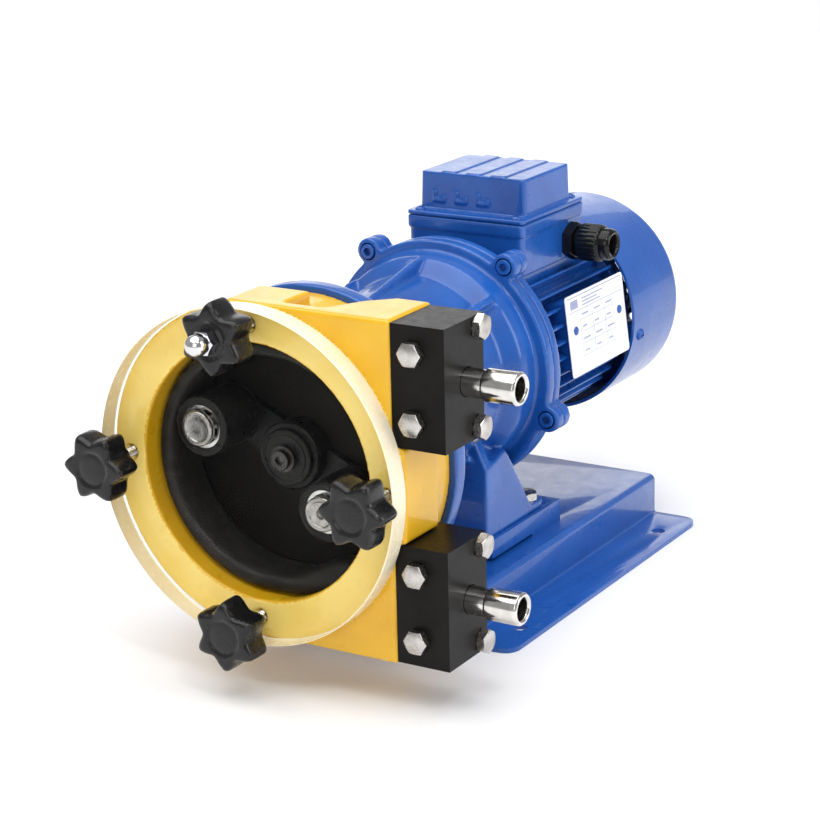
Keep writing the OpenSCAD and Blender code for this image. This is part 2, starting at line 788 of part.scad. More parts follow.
module nipple(side)
    difference() {
        union() {
            rod_x(11, hose_end_x + 0.6, 111.9, port_y, side * port_z);
            rod_x(8.25, 111, 139, port_y, side * port_z);
            rod_x(nipple_d / 2, 138, nipple_tip_x, port_y, side * port_z);
        }
        rod_x(nipple_bore_d / 2, hose_end_x - 1, nipple_tip_x + 1, port_y, side * port_z);
    }

module upper_nipple() color("silver") head() nipple(1);
module lower_nipple() color("silver") head() nipple(-1);

module block_front_bolts() color("silver") head()
    for (side = [-1, 1], dz = [-front_bolt_dz, front_bolt_dz])
        hex_bolt_y(stud_r, front_bolt_x, side * port_z + dz, block_y0 - 0.01, 32);

module block_side_bolts() color("silver") head()
    for (side = [-1, 1], dz = [-side_bolt_dz, side_bolt_dz])
        let (z = side * port_z + dz) {
            translate([block_x + 0.01, side_bolt_y, z]) rotate([0, 90, 0])
                cylinder(r = 13 / sqrt(3), h = 5.6, $fn = 6);
            rod_x(stud_r, 79, block_x + 0.1, side_bolt_y, z);
        }

module cover_studs() color("silver") head()
    for (i = [0 : 3]) rotate([0, -i * 90, 0])
        rod(stud_r, i == 1 ? knob_face_y - 9 : knob_face_y + 8, 27.5, stud_circle_r, 0);

// ---- rotor ----

module rotor_frame() rotate([0, -rotor_angle, 0]) children();

module rotor_arm() color([0.12, 0.12, 0.13]) head() rotor_frame()
    difference() {
        union() {
            slab(arm_y0, arm_y1) union() {
                for (s = [-1, 1]) translate([s * orbit_r, 0]) circle(r = 13);
                square([2 * orbit_r, 26], center = true);
            }
            rod(17, 32, arm_y1);
        }
        rod(shaft_r + fit_gap, 34, arm_y1 + 1);
        rod(screw_r + 0.3, 31, 35);
        rotate([0, rotor_angle, 0]) block(-3, 3, 35.5, arm_y1 + 1, 0, shaft_r + 2.5);
        for (s = [-1, 1]) rod(pin_r + fit_gap, arm_y0 - 1, arm_y1 + 1, s * orbit_r, 0);
    }

module roller_pins() color("silver") head() rotor_frame()
    for (s = [-1, 1]) {
        difference() {
            rod(10.5, 3.2, roller_y0 - 0.6, s * orbit_r, 0);
            hex(7, 2, 5.4, s * orbit_r, 0);
        }
        rod(pin_r, 6, arm_y1 - 0.4, s * orbit_r, 0);
    }

module hub_screw() color("dimgray") head() {
    rod(8, 28.6, 31.9);
    rod(screw_r - fit_gap, 31, 50);
    difference() {
        rod(6, 25, 28.7);
        hex(5, 24, 27.5);
    }
}

module roller(s) head() rotor_frame()
    difference() {
        translate([s * orbit_r, 0, 0])
            turned([[0, roller_y0], [roller_r - 2, roller_y0], [roller_r, roller_y0 + 2],
                [roller_r, roller_y1 - 2], [roller_r - 2, roller_y1], [0, roller_y1]]);
        rod(13, roller_y0 - 1, roller_y0 + 11, s * orbit_r, 0);
        rod(13, roller_y1 - 11, roller_y1 + 1, s * orbit_r, 0);
        rod(9, roller_y0, roller_y1, s * orbit_r, 0);
    }

module roller_a() color([0.15, 0.15, 0.16]) roller(1);
module roller_b() color([0.15, 0.15, 0.16]) roller(-1);

module roller_bearings(s) head() rotor_frame() translate([s * orbit_r, 0, 0]) {
    ball_bearing(pin_r, 13, roller_y0 + 1, roller_y0 + 11, 7);
    ball_bearing(pin_r, 13, roller_y1 - 11, roller_y1 - 1, 7);
}

module roller_bearings_a() color("silver") roller_bearings(1);
module roller_bearings_b() color("silver") roller_bearings(-1);

// ---- cover and knobs ----

module front_cover() color([0.9, 0.95, 1, 0.4]) head()
    difference() {
        rod(cover_d / 2, -cover_t, 0, $fn = 96);
        around(stud_circle_r, 4) rod(stud_r + 0.5, -cover_t - 1, 1);
    }

module knob(i) head() rotate([0, -i * 90, 0]) translate([stud_circle_r, 0, 0])
    difference() {
        union() {
            rod(9, knob_hub_y - 1, -cover_t);
            slab(knob_face_y, knob_hub_y) union() {
                circle(r = knob_r - 6);
                for (a = [0 : 60 : 300]) rotate(a) translate([knob_r - 6.5, 0]) circle(r = 6.5);
            }
        }
        rod(stud_r + 0.05, i == 1 ? knob_face_y - 1 : knob_face_y + 6, 0);
    }

module knob_top() color("black") knob(1);
module knob_left() color("black") knob(2);
module knob_right() color("black") knob(0);
module knob_bottom() color("black") knob(3);

module dome_nut() color("silver") head() translate([0, 0, stud_circle_r])
    difference() {
        union() {
            hex(13, knob_face_y - 7, knob_face_y);
            rod(6.3, knob_face_y - 11, knob_face_y - 6);
            translate([0, knob_face_y - 11, 0]) sphere(r = 6.3);
        }
        rod(stud_r + 0.05, knob_face_y - 10, knob_face_y + 1);
    }

base_channel();
riser_pad();
foot_bolts();
foot_nuts();
gearcase();
oil_plug();
output_bearings();
intermediate_bearings();
motor_bearings();
output_shaft();
output_gear();
shaft_key();
intermediate_shaft();
intermediate_gear();
motor_shaft();
rotor_core();
cooling_fan();
motor_flange();
flange_screws();
stator_frame();
stator_core();
stator_windings();
rear_end_shield();
fan_cover();
fan_cover_screws();
nameplate();
nameplate_rivets();
terminal_box();
terminal_lid();
terminal_lid_screws();
terminal_block();
gland_body();
gland_nut();
gland_seal();
pump_housing();
shaft_seal();
housing_bolts();
hose();
upper_port_block();
lower_port_block();
upper_nipple();
lower_nipple();
block_front_bolts();
block_side_bolts();
cover_studs();
rotor_arm();
roller_pins();
hub_screw();
roller_a();
roller_b();
roller_bearings_a();
roller_bearings_b();
front_cover();
knob_top();
knob_left();
knob_right();
knob_bottom();
dome_nut();
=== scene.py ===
"""Looks of a two-roller hose pump with its gearmotor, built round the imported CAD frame.

Shapes are drawn in millimetres in the head's own axes (Y along the pump axis, y = 0 on the
housing face, z = 0 on the pump axis) and moved to the frame by TO_FRAME at the end.
"""

import json
from math import atan2, copysign, cos, degrees, hypot, pi, radians, sin, sqrt, tan, tau

import bmesh
import bpy
from mathutils import Matrix, Vector


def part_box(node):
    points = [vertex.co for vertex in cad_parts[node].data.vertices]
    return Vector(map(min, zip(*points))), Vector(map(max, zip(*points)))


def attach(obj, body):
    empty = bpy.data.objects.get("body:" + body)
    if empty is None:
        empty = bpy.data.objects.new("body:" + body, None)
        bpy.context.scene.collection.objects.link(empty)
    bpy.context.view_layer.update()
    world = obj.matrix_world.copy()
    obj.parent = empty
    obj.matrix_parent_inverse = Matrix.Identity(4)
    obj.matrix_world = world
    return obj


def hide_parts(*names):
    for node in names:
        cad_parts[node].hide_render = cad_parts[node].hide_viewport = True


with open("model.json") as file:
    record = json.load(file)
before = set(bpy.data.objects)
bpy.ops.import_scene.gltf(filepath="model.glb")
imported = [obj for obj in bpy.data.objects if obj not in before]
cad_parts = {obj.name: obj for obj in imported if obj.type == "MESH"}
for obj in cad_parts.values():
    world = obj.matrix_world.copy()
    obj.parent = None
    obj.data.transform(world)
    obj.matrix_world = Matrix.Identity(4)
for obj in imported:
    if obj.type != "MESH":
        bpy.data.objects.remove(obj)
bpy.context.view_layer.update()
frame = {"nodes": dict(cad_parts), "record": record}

# ---- the frame: where the head's axes are, and what rides on what ----

MM = 0.001
cover_low, cover_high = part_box("front_cover")
HEAD = Vector(((cover_low.x + cover_high.x) / 2, cover_high.y, (cover_low.z + cover_high.z) / 2))
TO_FRAME = Matrix.Translation(HEAD) @ Matrix.Scale(MM, 4)
BODY_OF = {n: b for b, nodes in frame["record"]["behaviour"]["bodies"].items() for n in nodes}


def span(node):
    """Lowest and highest corner of a CAD node in the head's axes, in millimetres."""
    low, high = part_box(node)
    return (low - HEAD) / MM, (high - HEAD) / MM


def middle(node, axis):
    """The middle of a CAD node along one axis, in the same axes and units."""
    low, high = (getattr(corner, axis) for corner in span(node))
    return (low + high) / 2


COVER_R = (cover_high.x - cover_low.x) / 2 / MM
COVER_T = (cover_high.y - cover_low.y) / MM
MOTOR_Z = middle("fan_cover", "z")
PORT_Y, PORT_Z = middle("upper_nipple", "y"), middle("upper_nipple", "z")
STUD_CIRCLE = middle("dome_nut", "z")
ROLLER_A = Vector([middle("roller_a", axis) for axis in "xyz"])
ROTOR_TURN = degrees(atan2(ROLLER_A.z, ROLLER_A.x))
ORBIT = hypot(ROLLER_A.x, ROLLER_A.z)

# directions that a part drawn along +Y can be turned to
ALONG_X = Matrix.Rotation(-pi / 2, 4, "Z")
ALONG_Z = Matrix.Rotation(pi / 2, 4, "X")
BACKWARDS = Matrix.Rotation(pi, 4, "Z")
QUARTER = Matrix.Rotation(pi / 2, 4, "Y")


def at(x, y, z):
    return Matrix.Translation((x, y, z))


def round_y(turn, centre_z=0):
    """A turn in degrees about the Y line at that height, from +X towards +Z."""
    return at(0, 0, centre_z) @ Matrix.Rotation(-radians(turn), 4, "Y") @ at(0, 0, -centre_z)


# ---- mesh tools: each takes and gives meshes in millimetres ----


def mesh_from(points, faces):
    mesh = bpy.data.meshes.new("shape")
    mesh.from_pydata([tuple(p) for p in points], [], faces)
    build = bmesh.new()
    build.from_mesh(mesh)
    bmesh.ops.recalc_face_normals(build, faces=build.faces)
    build.to_mesh(mesh)
    build.free()
    return mesh


def softened(points, radius, steps=3, closed=True):
    """The outline with its corners rounded. radius is one number, or one for each corner."""
    out = []
    for i, point in enumerate(points):
        corner = Vector(point)
        reach = radius[i] if isinstance(radius, (list, tuple)) else radius
        if reach == 0 or (not closed and i in (0, len(points) - 1)):
            out.append(tuple(corner))
            continue
        before = Vector(points[i - 1]) - corner
        after = Vector(points[(i + 1) % len(points)]) - corner
        reach = min(reach, before.length / 2.1, after.length / 2.1)
        start = corner + before.normalized() * reach
        end = corner + after.normalized() * reach
        for k in range(steps + 1):
            t = k / steps
            out.append(tuple(start * (1 - t) ** 2 + corner * 2 * t * (1 - t) + end * t * t))
    return out


def stacked(rings, close=False):
    """A skin over rings of points, each the same length or a single point."""
    points, rows, faces = [], [], []
    for ring in rings:
        rows.append(range(len(points), len(points) + len(ring)))
        points += ring
    sides = max(len(r) for r in rows)
    for a, b in zip(rows, list(rows[1:]) + ([rows[0]] if close else [])):
        for k in range(sides):
            n = (k + 1) % sides
            loop = [a[k % len(a)], a[n % len(a)], b[n % len(b)], b[k % len(b)]]
            loop = list(dict.fromkeys(loop))
            if len(loop) > 2:
                faces.append(loop)
    if not close:
        faces += [list(r) for r in (rows[0], rows[-1]) if len(r) > 2]
    return mesh_from(points, faces)


def lathe(profile, x=0, z=0, sides=96, close=False):
    """A profile of (radius, y) turned about the Y line through x, z."""
    turns = [(cos(tau * k / sides), sin(tau * k / sides)) for k in range(sides)]
    rings = []
    for r, y in profile:
        rings.append([(x + r * c, y, z + r * s) for c, s in turns] if r > 1e-6 else [(x, y, z)])
    return stacked(rings, close)


def round_row(y, sides, radius_at):
    """A row of points round the Y axis, for stacked(); radius_at takes the angle."""
    turns = [tau * k / sides for k in range(sides)]
    return [(radius_at(a) * cos(a), y, radius_at(a) * sin(a)) for a in turns]


def rod(r, y0, y1, x=0, z=0, sides=64):
    return lathe([(0, y0), (r, y0), (r, y1), (0, y1)], x, z, sides)


def puck(r, y0, y1, edge, steps=3, z=0, sides=96):
    """A disc with rounded rims."""
    return lathe(softened([(0, y0), (r, y0), (r, y1), (0, y1)], edge, steps, False), z=z, sides=sides)


def ring(inner, outer, y0, y1, edge=0.4, z=0):
    """A tube with softened edges."""
    profile = softened([(inner, y0), (outer, y0), (outer, y1), (inner, y1)], edge)
    return lathe(profile, z=z, close=True)


def prism(outline, y0, y1):
    """An outline of (x, z) made solid from y0 to y1."""
    return stacked([[(x, y, z) for x, z in outline] for y in (y0, y1)])


def block(x0, x1, y0, y1, z0, z1):
    return prism([(x0, z0), (x1, z0), (x1, z1), (x0, z1)], y0, y1)


def moved(mesh, *matrices):
    """A copy of the mesh under those matrices, the last one first."""
    copy = mesh.copy()
    for matrix in reversed(matrices):
        copy.transform(matrix)
    return copy


def rod_along_x(r, x0, x1, y, z):
    return moved(rod(r, x0, x1), at(0, y, z), ALONG_X)


def rod_along_z(r, z0, z1, x, y):
    return moved(rod(r, z0, z1, x, -y), ALONG_Z)


def joined(*meshes):
    build = bmesh.new()
    for mesh in meshes:
        build.from_mesh(mesh)
    out = bpy.data.meshes.new("shape")
    build.to_mesh(out)
    build.free()
    return out


def placed(name, data):
    """A new object in the scene."""
    obj = bpy.data.objects.new(name, data)
    bpy.context.scene.collection.objects.link(obj)
    return obj


def modified(mesh, kind, **settings):
    """The mesh after one modifier."""
    obj = placed("work", mesh)
    modifier = obj.modifiers.new(kind, kind)
    for key, value in settings.items():
        setattr(modifier, key, value)
    bpy.context.view_layer.update()
    out = bpy.data.meshes.new_from_object(obj.evaluated_get(bpy.context.evaluated_depsgraph_get()))
    bpy.data.objects.remove(obj)
    return out


def combined(mesh, tools, operation):
    """The mesh with the tools united with it (UNION), cut from it (DIFFERENCE) or kept (INTERSECT)."""
    for tool in tools:
        obj = placed("work", tool)
        mesh = modified(mesh, "BOOLEAN", operation=operation, object=obj, solver="MANIFOLD")
        bpy.data.objects.remove(obj)
    return mesh


def cut(mesh, tools):
    return combined(mesh, tools, "DIFFERENCE")


def bevelled(mesh, width, segments, angle):
    return modified(mesh, "BEVEL", width=width, segments=segments, limit_method="ANGLE",
                    angle_limit=radians(angle), use_clamp_overlap=True)


def cast(solids, cutters, voxel, passes):
    """Overlapping solids melted into one casting with filleted edges, less the cutters."""
    mesh = cut(combined(solids[0], solids[1:], "UNION"), cutters)
    mesh = modified(mesh, "REMESH", mode="VOXEL", voxel_size=voxel)
    return modified(mesh, "SMOOTH", factor=0.5, iterations=passes)


# ---- materials ----

FINISH = {}


class Finish:
    """A Principled material and the few nodes that vary it over the surface."""

    def __init__(self, name, colour, **sockets):
        self.material = bpy.data.materials.new(name)
        self.material.use_nodes = True
        self.tree = self.material.node_tree
        self.shader = self.tree.nodes["Principled BSDF"]
        self.set("Base Color", (*colour, 1))
        for socket, value in sockets.items():
            self.set(socket.replace("_", " "), value)
        self.place = self.tree.nodes.new("ShaderNodeTexCoord").outputs["Object"]
        self.height = None
        FINISH[name] = self.material

    def set(self, socket, value):
        self.shader.inputs[socket].default_value = value

    def node(self, kind, **sockets):
        node = self.tree.nodes.new(kind)
        for socket, value in sockets.items():
            node.inputs[socket.replace("_", " ")].default_value = value
        return node

    def link(self, output, socket):
        self.tree.links.new(output, socket)

    def noise(self, size_mm, detail=3, stretch=(1, 1, 1)):
        """Cloudy noise with features of that size, drawn out along an axis by a stretch over 1."""
        mapping = self.node("ShaderNodeMapping", Scale=[1 / s for s in stretch])
        self.link(self.place, mapping.inputs["Vector"])
        noise = self.node("ShaderNodeTexNoise", Scale=1 / (size_mm * MM), Detail=detail)
        self.link(mapping.outputs["Vector"], noise.inputs["Vector"])
        return noise.outputs["Fac"]

    def bands(self, size_mm, axis, distortion=0.0):
        """Even bands that follow each other along one axis."""
        scale = tau / 20 / (size_mm * MM)
        wave = self.node("ShaderNodeTexWave", Scale=scale, Distortion=distortion)
        wave.bands_direction = axis
        self.link(self.place, wave.inputs["Vector"])
        return wave.outputs["Fac"]

    def ranged(self, source, low, high):
        """Spreads the usual reach of a noise, 0.3 to 0.7, over low to high."""
        node = self.node("ShaderNodeMapRange", From_Min=0.3, From_Max=0.7, To_Min=low, To_Max=high)
        self.link(source, node.inputs["Value"])
        return node.outputs["Result"]

    def colours(self, source, *stops):
        """Base colour from a source: stops are (position, colour)."""
        ramp = self.tree.nodes.new("ShaderNodeValToRGB")
        elements = ramp.color_ramp.elements
        while len(elements) < len(stops):
            elements.new(0.5)
        for element, (position, colour) in zip(elements, stops):
            element.position = position
            element.color = (*colour, 1)
        self.link(source, ramp.inputs["Fac"])
        self.link(ramp.outputs["Color"], self.shader.inputs["Base Color"])

    def roughness(self, source, low, high):
        self.link(self.ranged(source, low, high), self.shader.inputs["Roughness"])

    def bump(self, source, depth_mm, strength=1.0):
        """Adds a relief of that depth to those already there."""
        bump = self.node("ShaderNodeBump", Strength=strength, Distance=depth_mm * MM)
        self.link(source, bump.inputs["Height"])
        if self.height:
            self.link(self.height, bump.inputs["Normal"])
        self.height = bump.outputs["Normal"]
        self.link(self.height, self.shader.inputs["Normal"])


def enamel(name, dark, plain, light, relief_mm):
    """Glossy sprayed enamel: slow shifts of shade, orange peel, and the cast skin below it."""
    paint = Finish(name, plain, Roughness=0.3, Specular_IOR_Level=0.3, Coat_Weight=0.5,
                   Coat_Roughness=0.04)
    paint.colours(paint.noise(38, 4), (0.28, dark), (0.5, plain), (0.75, light))
    paint.roughness(paint.noise(9, 5), 0.24, 0.4)
    paint.bump(paint.noise(5.5, 4), relief_mm)
    paint.bump(paint.noise(2.2, 1), 0.005, 0.5)


def bright_metal(name, dark, light, smooth, rough, streak=(1, 1, 1), grain_mm=0.5, relief_mm=0.01):
    """Bare or plated metal with machining streaks along one axis."""
    metal = Finish(name, light, Metallic=1.0)
    metal.colours(metal.noise(6, 4), (0.3, dark), (0.7, light))
    metal.roughness(metal.noise(grain_mm * 2, 3, streak), smooth, rough)
    metal.bump(metal.noise(grain_mm, 3, streak), relief_mm)


def moulded(name, colour, light, smooth, rough, grain_mm=0.5, relief_mm=0.02, **sockets):
    """Moulded plastic or rubber with a fine grain."""
    plastic = Finish(name, colour, **sockets)
    plastic.colours(plastic.noise(14, 3), (0.35, colour), (0.7, light))
    plastic.roughness(plastic.noise(4, 4), smooth, rough)
    plastic.bump(plastic.noise(grain_mm, 3), relief_mm)


enamel("blue_cast", (0.007, 0.068, 0.31), (0.01, 0.086, 0.37), (0.017, 0.11, 0.43), 0.07)
enamel("blue_sheet", (0.009, 0.076, 0.34), (0.01, 0.086, 0.37), (0.014, 0.1, 0.41), 0.01)
enamel("yellow_cast", (0.7, 0.375, 0.008), (0.755, 0.425, 0.011), (0.8, 0.47, 0.017), 0.05)
# A paler yellow for the housing's face under the clear cover: painted haze, standing in for the light
# the acrylic cover reflects and scatters over it
enamel("yellow_painted_haze", (0.9, 0.63, 0.13), (0.95, 0.71, 0.19), (0.97, 0.76, 0.24), 0.03)
bright_metal("steel_zinc", (0.42, 0.40, 0.38), (0.62, 0.60, 0.57), 0.2, 0.36)
bright_metal("steel_turned", (0.3, 0.29, 0.29), (0.44, 0.43, 0.43), 0.18, 0.28, (1, 14, 14), 0.3, 0.003)
bright_metal("steel_black", (0.05, 0.05, 0.05), (0.09, 0.085, 0.085), 0.25, 0.4, relief_mm=0.003)
bright_metal("steel_bearing", (0.5, 0.5, 0.5), (0.66, 0.66, 0.67), 0.1, 0.2)
bright_metal("stainless_polished", (0.6, 0.585, 0.56), (0.8, 0.78, 0.75), 0.09, 0.2, (14, 1, 1), 0.3,
             0.006)
bright_metal("chrome", (0.66, 0.66, 0.67), (0.8, 0.8, 0.82), 0.05, 0.11, (1, 1, 1), 2.0, 0.004)
bright_metal("steel_plate", (0.6, 0.61, 0.66), (0.78, 0.79, 0.84), 0.3, 0.42, (1, 20, 1), 0.25, 0.004)
moulded("plastic_knob", (0.006, 0.006, 0.007), (0.012, 0.012, 0.013), 0.2, 0.32, 0.8, 0.015,
        Specular_IOR_Level=0.3, Coat_Weight=0.15, Coat_Roughness=0.1)
moulded("plastic_block", (0.004, 0.0033, 0.003), (0.008, 0.0067, 0.006), 0.28, 0.38, 0.35, 0.01,
        Specular_IOR_Level=0.14)
moulded("chamber_black", (0.004, 0.0035, 0.0035), (0.008, 0.007, 0.0065), 0.4, 0.55,
        Specular_IOR_Level=0.1)
moulded("plastic_black", (0.003, 0.003, 0.0035), (0.007, 0.007, 0.008), 0.1, 0.18, 0.6, 0.006,
        Specular_IOR_Level=0.3)
moulded("plastic_fan", (0.02, 0.02, 0.022), (0.035, 0.035, 0.038), 0.4, 0.55)
moulded("rubber_seal", (0.01, 0.01, 0.01), (0.02, 0.02, 0.02), 0.5, 0.7)
moulded("rotor_black", (0.005, 0.005, 0.006), (0.011, 0.011, 0.012), 0.24, 0.4, 0.6, 0.015,
        Specular_IOR_Level=0.2)
moulded("ink_faint", (0.3, 0.33, 0.5), (0.4, 0.43, 0.6), 0.4, 0.5)
moulded("plate_white", (0.8, 0.8, 0.86), (0.9, 0.9, 0.94), 0.3, 0.42, 0.4, 0.004)


def hose_rubber():
    """Cloth-wrapped rubber: the tape's edges show as soft bands round the hose."""
    rubber = Finish("rubber_hose", (0.008, 0.0075, 0.0075), Roughness=0.42, Specular_IOR_Level=0.25)
    rubber.colours(rubber.noise(7, 5, (5, 1, 1)), (0.35, (0.005, 0.005, 0.005)),
                   (0.75, (0.02, 0.018, 0.018)))
    rubber.roughness(rubber.noise(3, 4), 0.34, 0.55)
    rubber.bump(rubber.noise(1.2, 3, (1, 6, 1)), 0.06)
    rubber.bump(rubber.noise(0.35, 2), 0.02)


def laminations():
    steel = Finish("steel_laminated", (0.3, 0.3, 0.31), Metallic=1.0, Roughness=0.4)
    steel.colours(steel.noise(5, 3), (0.3, (0.22, 0.22, 0.23)), (0.7, (0.36, 0.36, 0.37)))
    steel.bump(steel.bands(0.5, "Y"), 0.1)


def windings():
    copper = Finish("copper_wound", (0.6, 0.25, 0.1), Metallic=1.0, Roughness=0.3, Coat_Weight=0.5)
    copper.colours(copper.noise(3, 3), (0.3, (0.42, 0.15, 0.05)), (0.7, (0.7, 0.32, 0.14)))
    copper.bump(copper.bands(0.7, "Z", 3.0), 0.3)


def acrylic():
    """Clear acrylic. Lamps reach through it, so what it covers stays lit."""
    clear = Finish("acrylic_clear", (0.99, 0.99, 0.96), Roughness=0.0, IOR=1.08, Transmission_Weight=1.0)
    clear.bump(clear.noise(60, 1), 0.05, 0.3)
    path = clear.tree.nodes.new("ShaderNodeLightPath")
    either = clear.tree.nodes.new("ShaderNodeMath")
    either.operation = "MAXIMUM"
    clear.link(path.outputs["Is Shadow Ray"], either.inputs[0])
    clear.link(path.outputs["Is Diffuse Ray"], either.inputs[1])
    through = clear.node("ShaderNodeBsdfTransparent", Color=(0.99, 0.99, 0.97, 1))
    mix = clear.tree.nodes.new("ShaderNodeMixShader")
    clear.link(either.outputs["Value"], mix.inputs["Fac"])
    clear.link(clear.shader.outputs["BSDF"], mix.inputs[1])
    clear.link(through.outputs["BSDF"], mix.inputs[2])
    clear.link(mix.outputs["Shader"], clear.tree.nodes["Material Output"].inputs["Surface"])


hose_rubber()
laminations()
windings()
acrylic()
moulded("acrylic_rim", (0.88, 0.78, 0.55), (0.92, 0.84, 0.66), 0.2, 0.3, 3.0, 0.004)


# ---- pieces: a detailed mesh for a CAD node, on that node's body ----


def piece(node, *parts, smooth=35):
    """Makes one piece from (mesh, finish) parts; it stands for the CAD node."""
    build = bmesh.new()
    finishes = []
    for mesh, finish in parts:
        if finish not in finishes:
            finishes.append(finish)
        first = len(build.faces)
        build.from_mesh(mesh)
        build.faces.ensure_lookup_table()
        for face in build.faces[first:]:
            face.material_index = finishes.index(finish)
            face.smooth = True
    look = bpy.data.meshes.new(node + "_look")
    build.to_mesh(look)
    build.free()
    for finish in finishes:
        look.materials.append(FINISH[finish])
    look.transform(TO_FRAME)
    look.set_sharp_from_angle(angle=radians(smooth))
    obj = placed(node + "_look", look)
    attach(obj, BODY_OF[node])
    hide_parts(node)
    return obj


def repaint(obj, finish, chosen):
    """Gives the finish to the faces whose middle, in the head's axes, is one of the chosen."""
    obj.data.materials.append(FINISH[finish])
    for polygon in obj.data.polygons:
        if chosen((polygon.center - HEAD) / MM):
            polygon.material_index = len(obj.data.materials) - 1


def solids_of(node):
    """(centre, low, high) of each separate solid of a CAD node, in the same axes and units."""
    build = bmesh.new()
    build.from_mesh(frame["nodes"][node].data)
    bmesh.ops.remove_doubles(build, verts=build.verts, dist=1e-6)
    left, found = set(build.verts), []
    while left:
        group, edge = set(), [left.pop()]
        while edge:
            vertex = edge.pop()
            group.add(vertex)
            fresh = {e.other_vert(vertex) for e in vertex.link_edges} & left
            left -= fresh
            edge += fresh
        points = [(v.co - HEAD) / MM for v in group]
        low = Vector([min(p[k] for p in points) for k in range(3)])
        high = Vector([max(p[k] for p in points) for k in range(3)])
        found.append(((low + high) / 2, low, high))
    build.free()
    return sorted(found, key=lambda s: tuple(round(c, 2) for c in s[0]))


def centres(node):
    return [centre for centre, low, high in solids_of(node)]


# ---- fasteners, drawn along +Y with the seat at y = 0 and the shank below it ----

M8_ACROSS, M8_HEAD, M8_PITCH, M8_BORE_R = 13, 5.6, 1.25, 4.05


def hex_prism(across, y0, y1, chamfer=True):
    """A hexagon bar; the far end's corners are turned off at 30 degrees."""
    corner = across / sqrt(3)
    sides = [(corner * cos(k * pi / 3), corner * sin(k * pi / 3)) for k in range(6)]
    bar = prism(sides, y0, y1)
    if not chamfer:
        return bar
    flat = across / 2 * 0.9
    fall = (corner * 1.1 - flat) * tan(radians(30))
    cone = lathe([(0, y0 - 1), (corner * 1.1, y0 - 1), (corner * 1.1, y1 - fall), (flat, y1), (0, y1)])
    return combined(bar, [cone], "INTERSECT")


def thread(radius, y0, y1, pitch):
    """A helical thread with V flanks and a chamfered tip at y0."""
    sides = 32
    steps = max(4, round((y1 - y0) / pitch * 4))
    rings = [[(0, y0, 0)]]
    for i in range(steps + 1):
        y = y0 + (y1 - y0) * i / steps
        row = []
        for k in range(sides):
            phase = (y / pitch - k / sides) % 1
            depth = 0.6 * pitch * abs(2 * phase - 1)
            r = min(radius - depth, radius - 0.5 * pitch + (y - y0))
            row.append((r * cos(tau * k / sides), y, r * sin(tau * k / sides)))
        rings.append(row)
    rings.append([(0, y1, 0)])
    return stacked(rings)


def hex_bolt(d, across, height, shank, face_t=0.5):
    """Hexagon head bolt with a round face under the head."""
    face = puck(across * 0.49, 0, face_t, 0.15, 2)
    return joined(hex_prism(across, face_t, height), face, rod(d / 2, -shank, 0.1))


def cap_screw(d, head_r, height, shank, socket):
    """Socket head screw with a softened rim and a hexagon socket."""
    head = cut(puck(head_r, 0, height, 0.5), [hex_prism(socket, height * 0.45, height + 1, False)])
    return joined(head, rod(d / 2, -shank, 0.1))


def pan_screw(d, head_r, height, shank):
    """Pan head screw with a cross recess."""
    turns = [t * pi / 12 for t in range(6)]
    crown = [(head_r * cos(a), height * sin(a)) for a in turns]
    head = lathe([(0, 0)] + crown + [(0, height)], sides=48)
    arm, wide = head_r * 0.55, head_r * 0.14
    slots = [block(-arm, arm, height * 0.5, height + 1, -wide, wide),
             block(-wide, wide, height * 0.5, height + 1, -arm, arm)]
    return joined(cut(head, slots), rod(d / 2, -shank, 0.1, sides=32))


# ---- base ----

BASE_LOW, BASE_HIGH = span("base_channel")
SHEET, BEND = 3.0, 4.5
WALL_X = 77.0
CORNER_R, HOLE_R, HOLE_INSET = 12.0, 4.5, Vector((13.5, 35.0))
FOOT_BOLTS = centres("foot_bolts")
FOOT_T = 6.0


def arc(cx, cz, r, start, end, steps=10):
    turn = [radians(start + (end - start) * k / steps) for k in range(steps + 1)]
    return [(cx + r * cos(a), cz + r * sin(a)) for a in turn]


def base_channel():
    """Folded sheet: top, two walls and two outward flanges."""
    top, floor, inner = BASE_HIGH.z, BASE_LOW.z, BEND - SHEET
    half = arc(WALL_X - BEND, top - BEND, BEND, 90, 0)
    half += arc(WALL_X + inner, floor + BEND, inner, 180, 270)
    half += [(BASE_HIGH.x, floor + SHEET), (BASE_HIGH.x, floor)]
    half += arc(WALL_X + inner, floor + BEND, BEND, 270, 180)
    half += arc(WALL_X - BEND, top - BEND, inner, 0, 90)
    sheet = prism(half + [(-x, z) for x, z in reversed(half)], BASE_LOW.y, BASE_HIGH.y)
    plan = [(BASE_LOW.x, -BASE_LOW.y), (BASE_HIGH.x, -BASE_LOW.y), (BASE_HIGH.x, -BASE_HIGH.y),
            (BASE_LOW.x, -BASE_HIGH.y)]
    corners = moved(prism(softened(plan, CORNER_R, 12), floor - 1, top + 1), ALONG_Z)
    sheet = combined(sheet, [corners], "INTERSECT")
    holes = [rod_along_z(HOLE_R, floor - 1, floor + SHEET + 1, x, y)
             for x in (BASE_LOW.x + HOLE_INSET.x, BASE_HIGH.x - HOLE_INSET.x)
             for y in (BASE_LOW.y + HOLE_INSET.y, BASE_HIGH.y - HOLE_INSET.y)]
    holes += [rod_along_z(HOLE_R, top - SHEET - 1, top + 1, c.x, c.y) for c in FOOT_BOLTS]
    piece("base_channel", (bevelled(cut(sheet, holes), 0.7, 3, 40), "blue_sheet"), smooth=30)


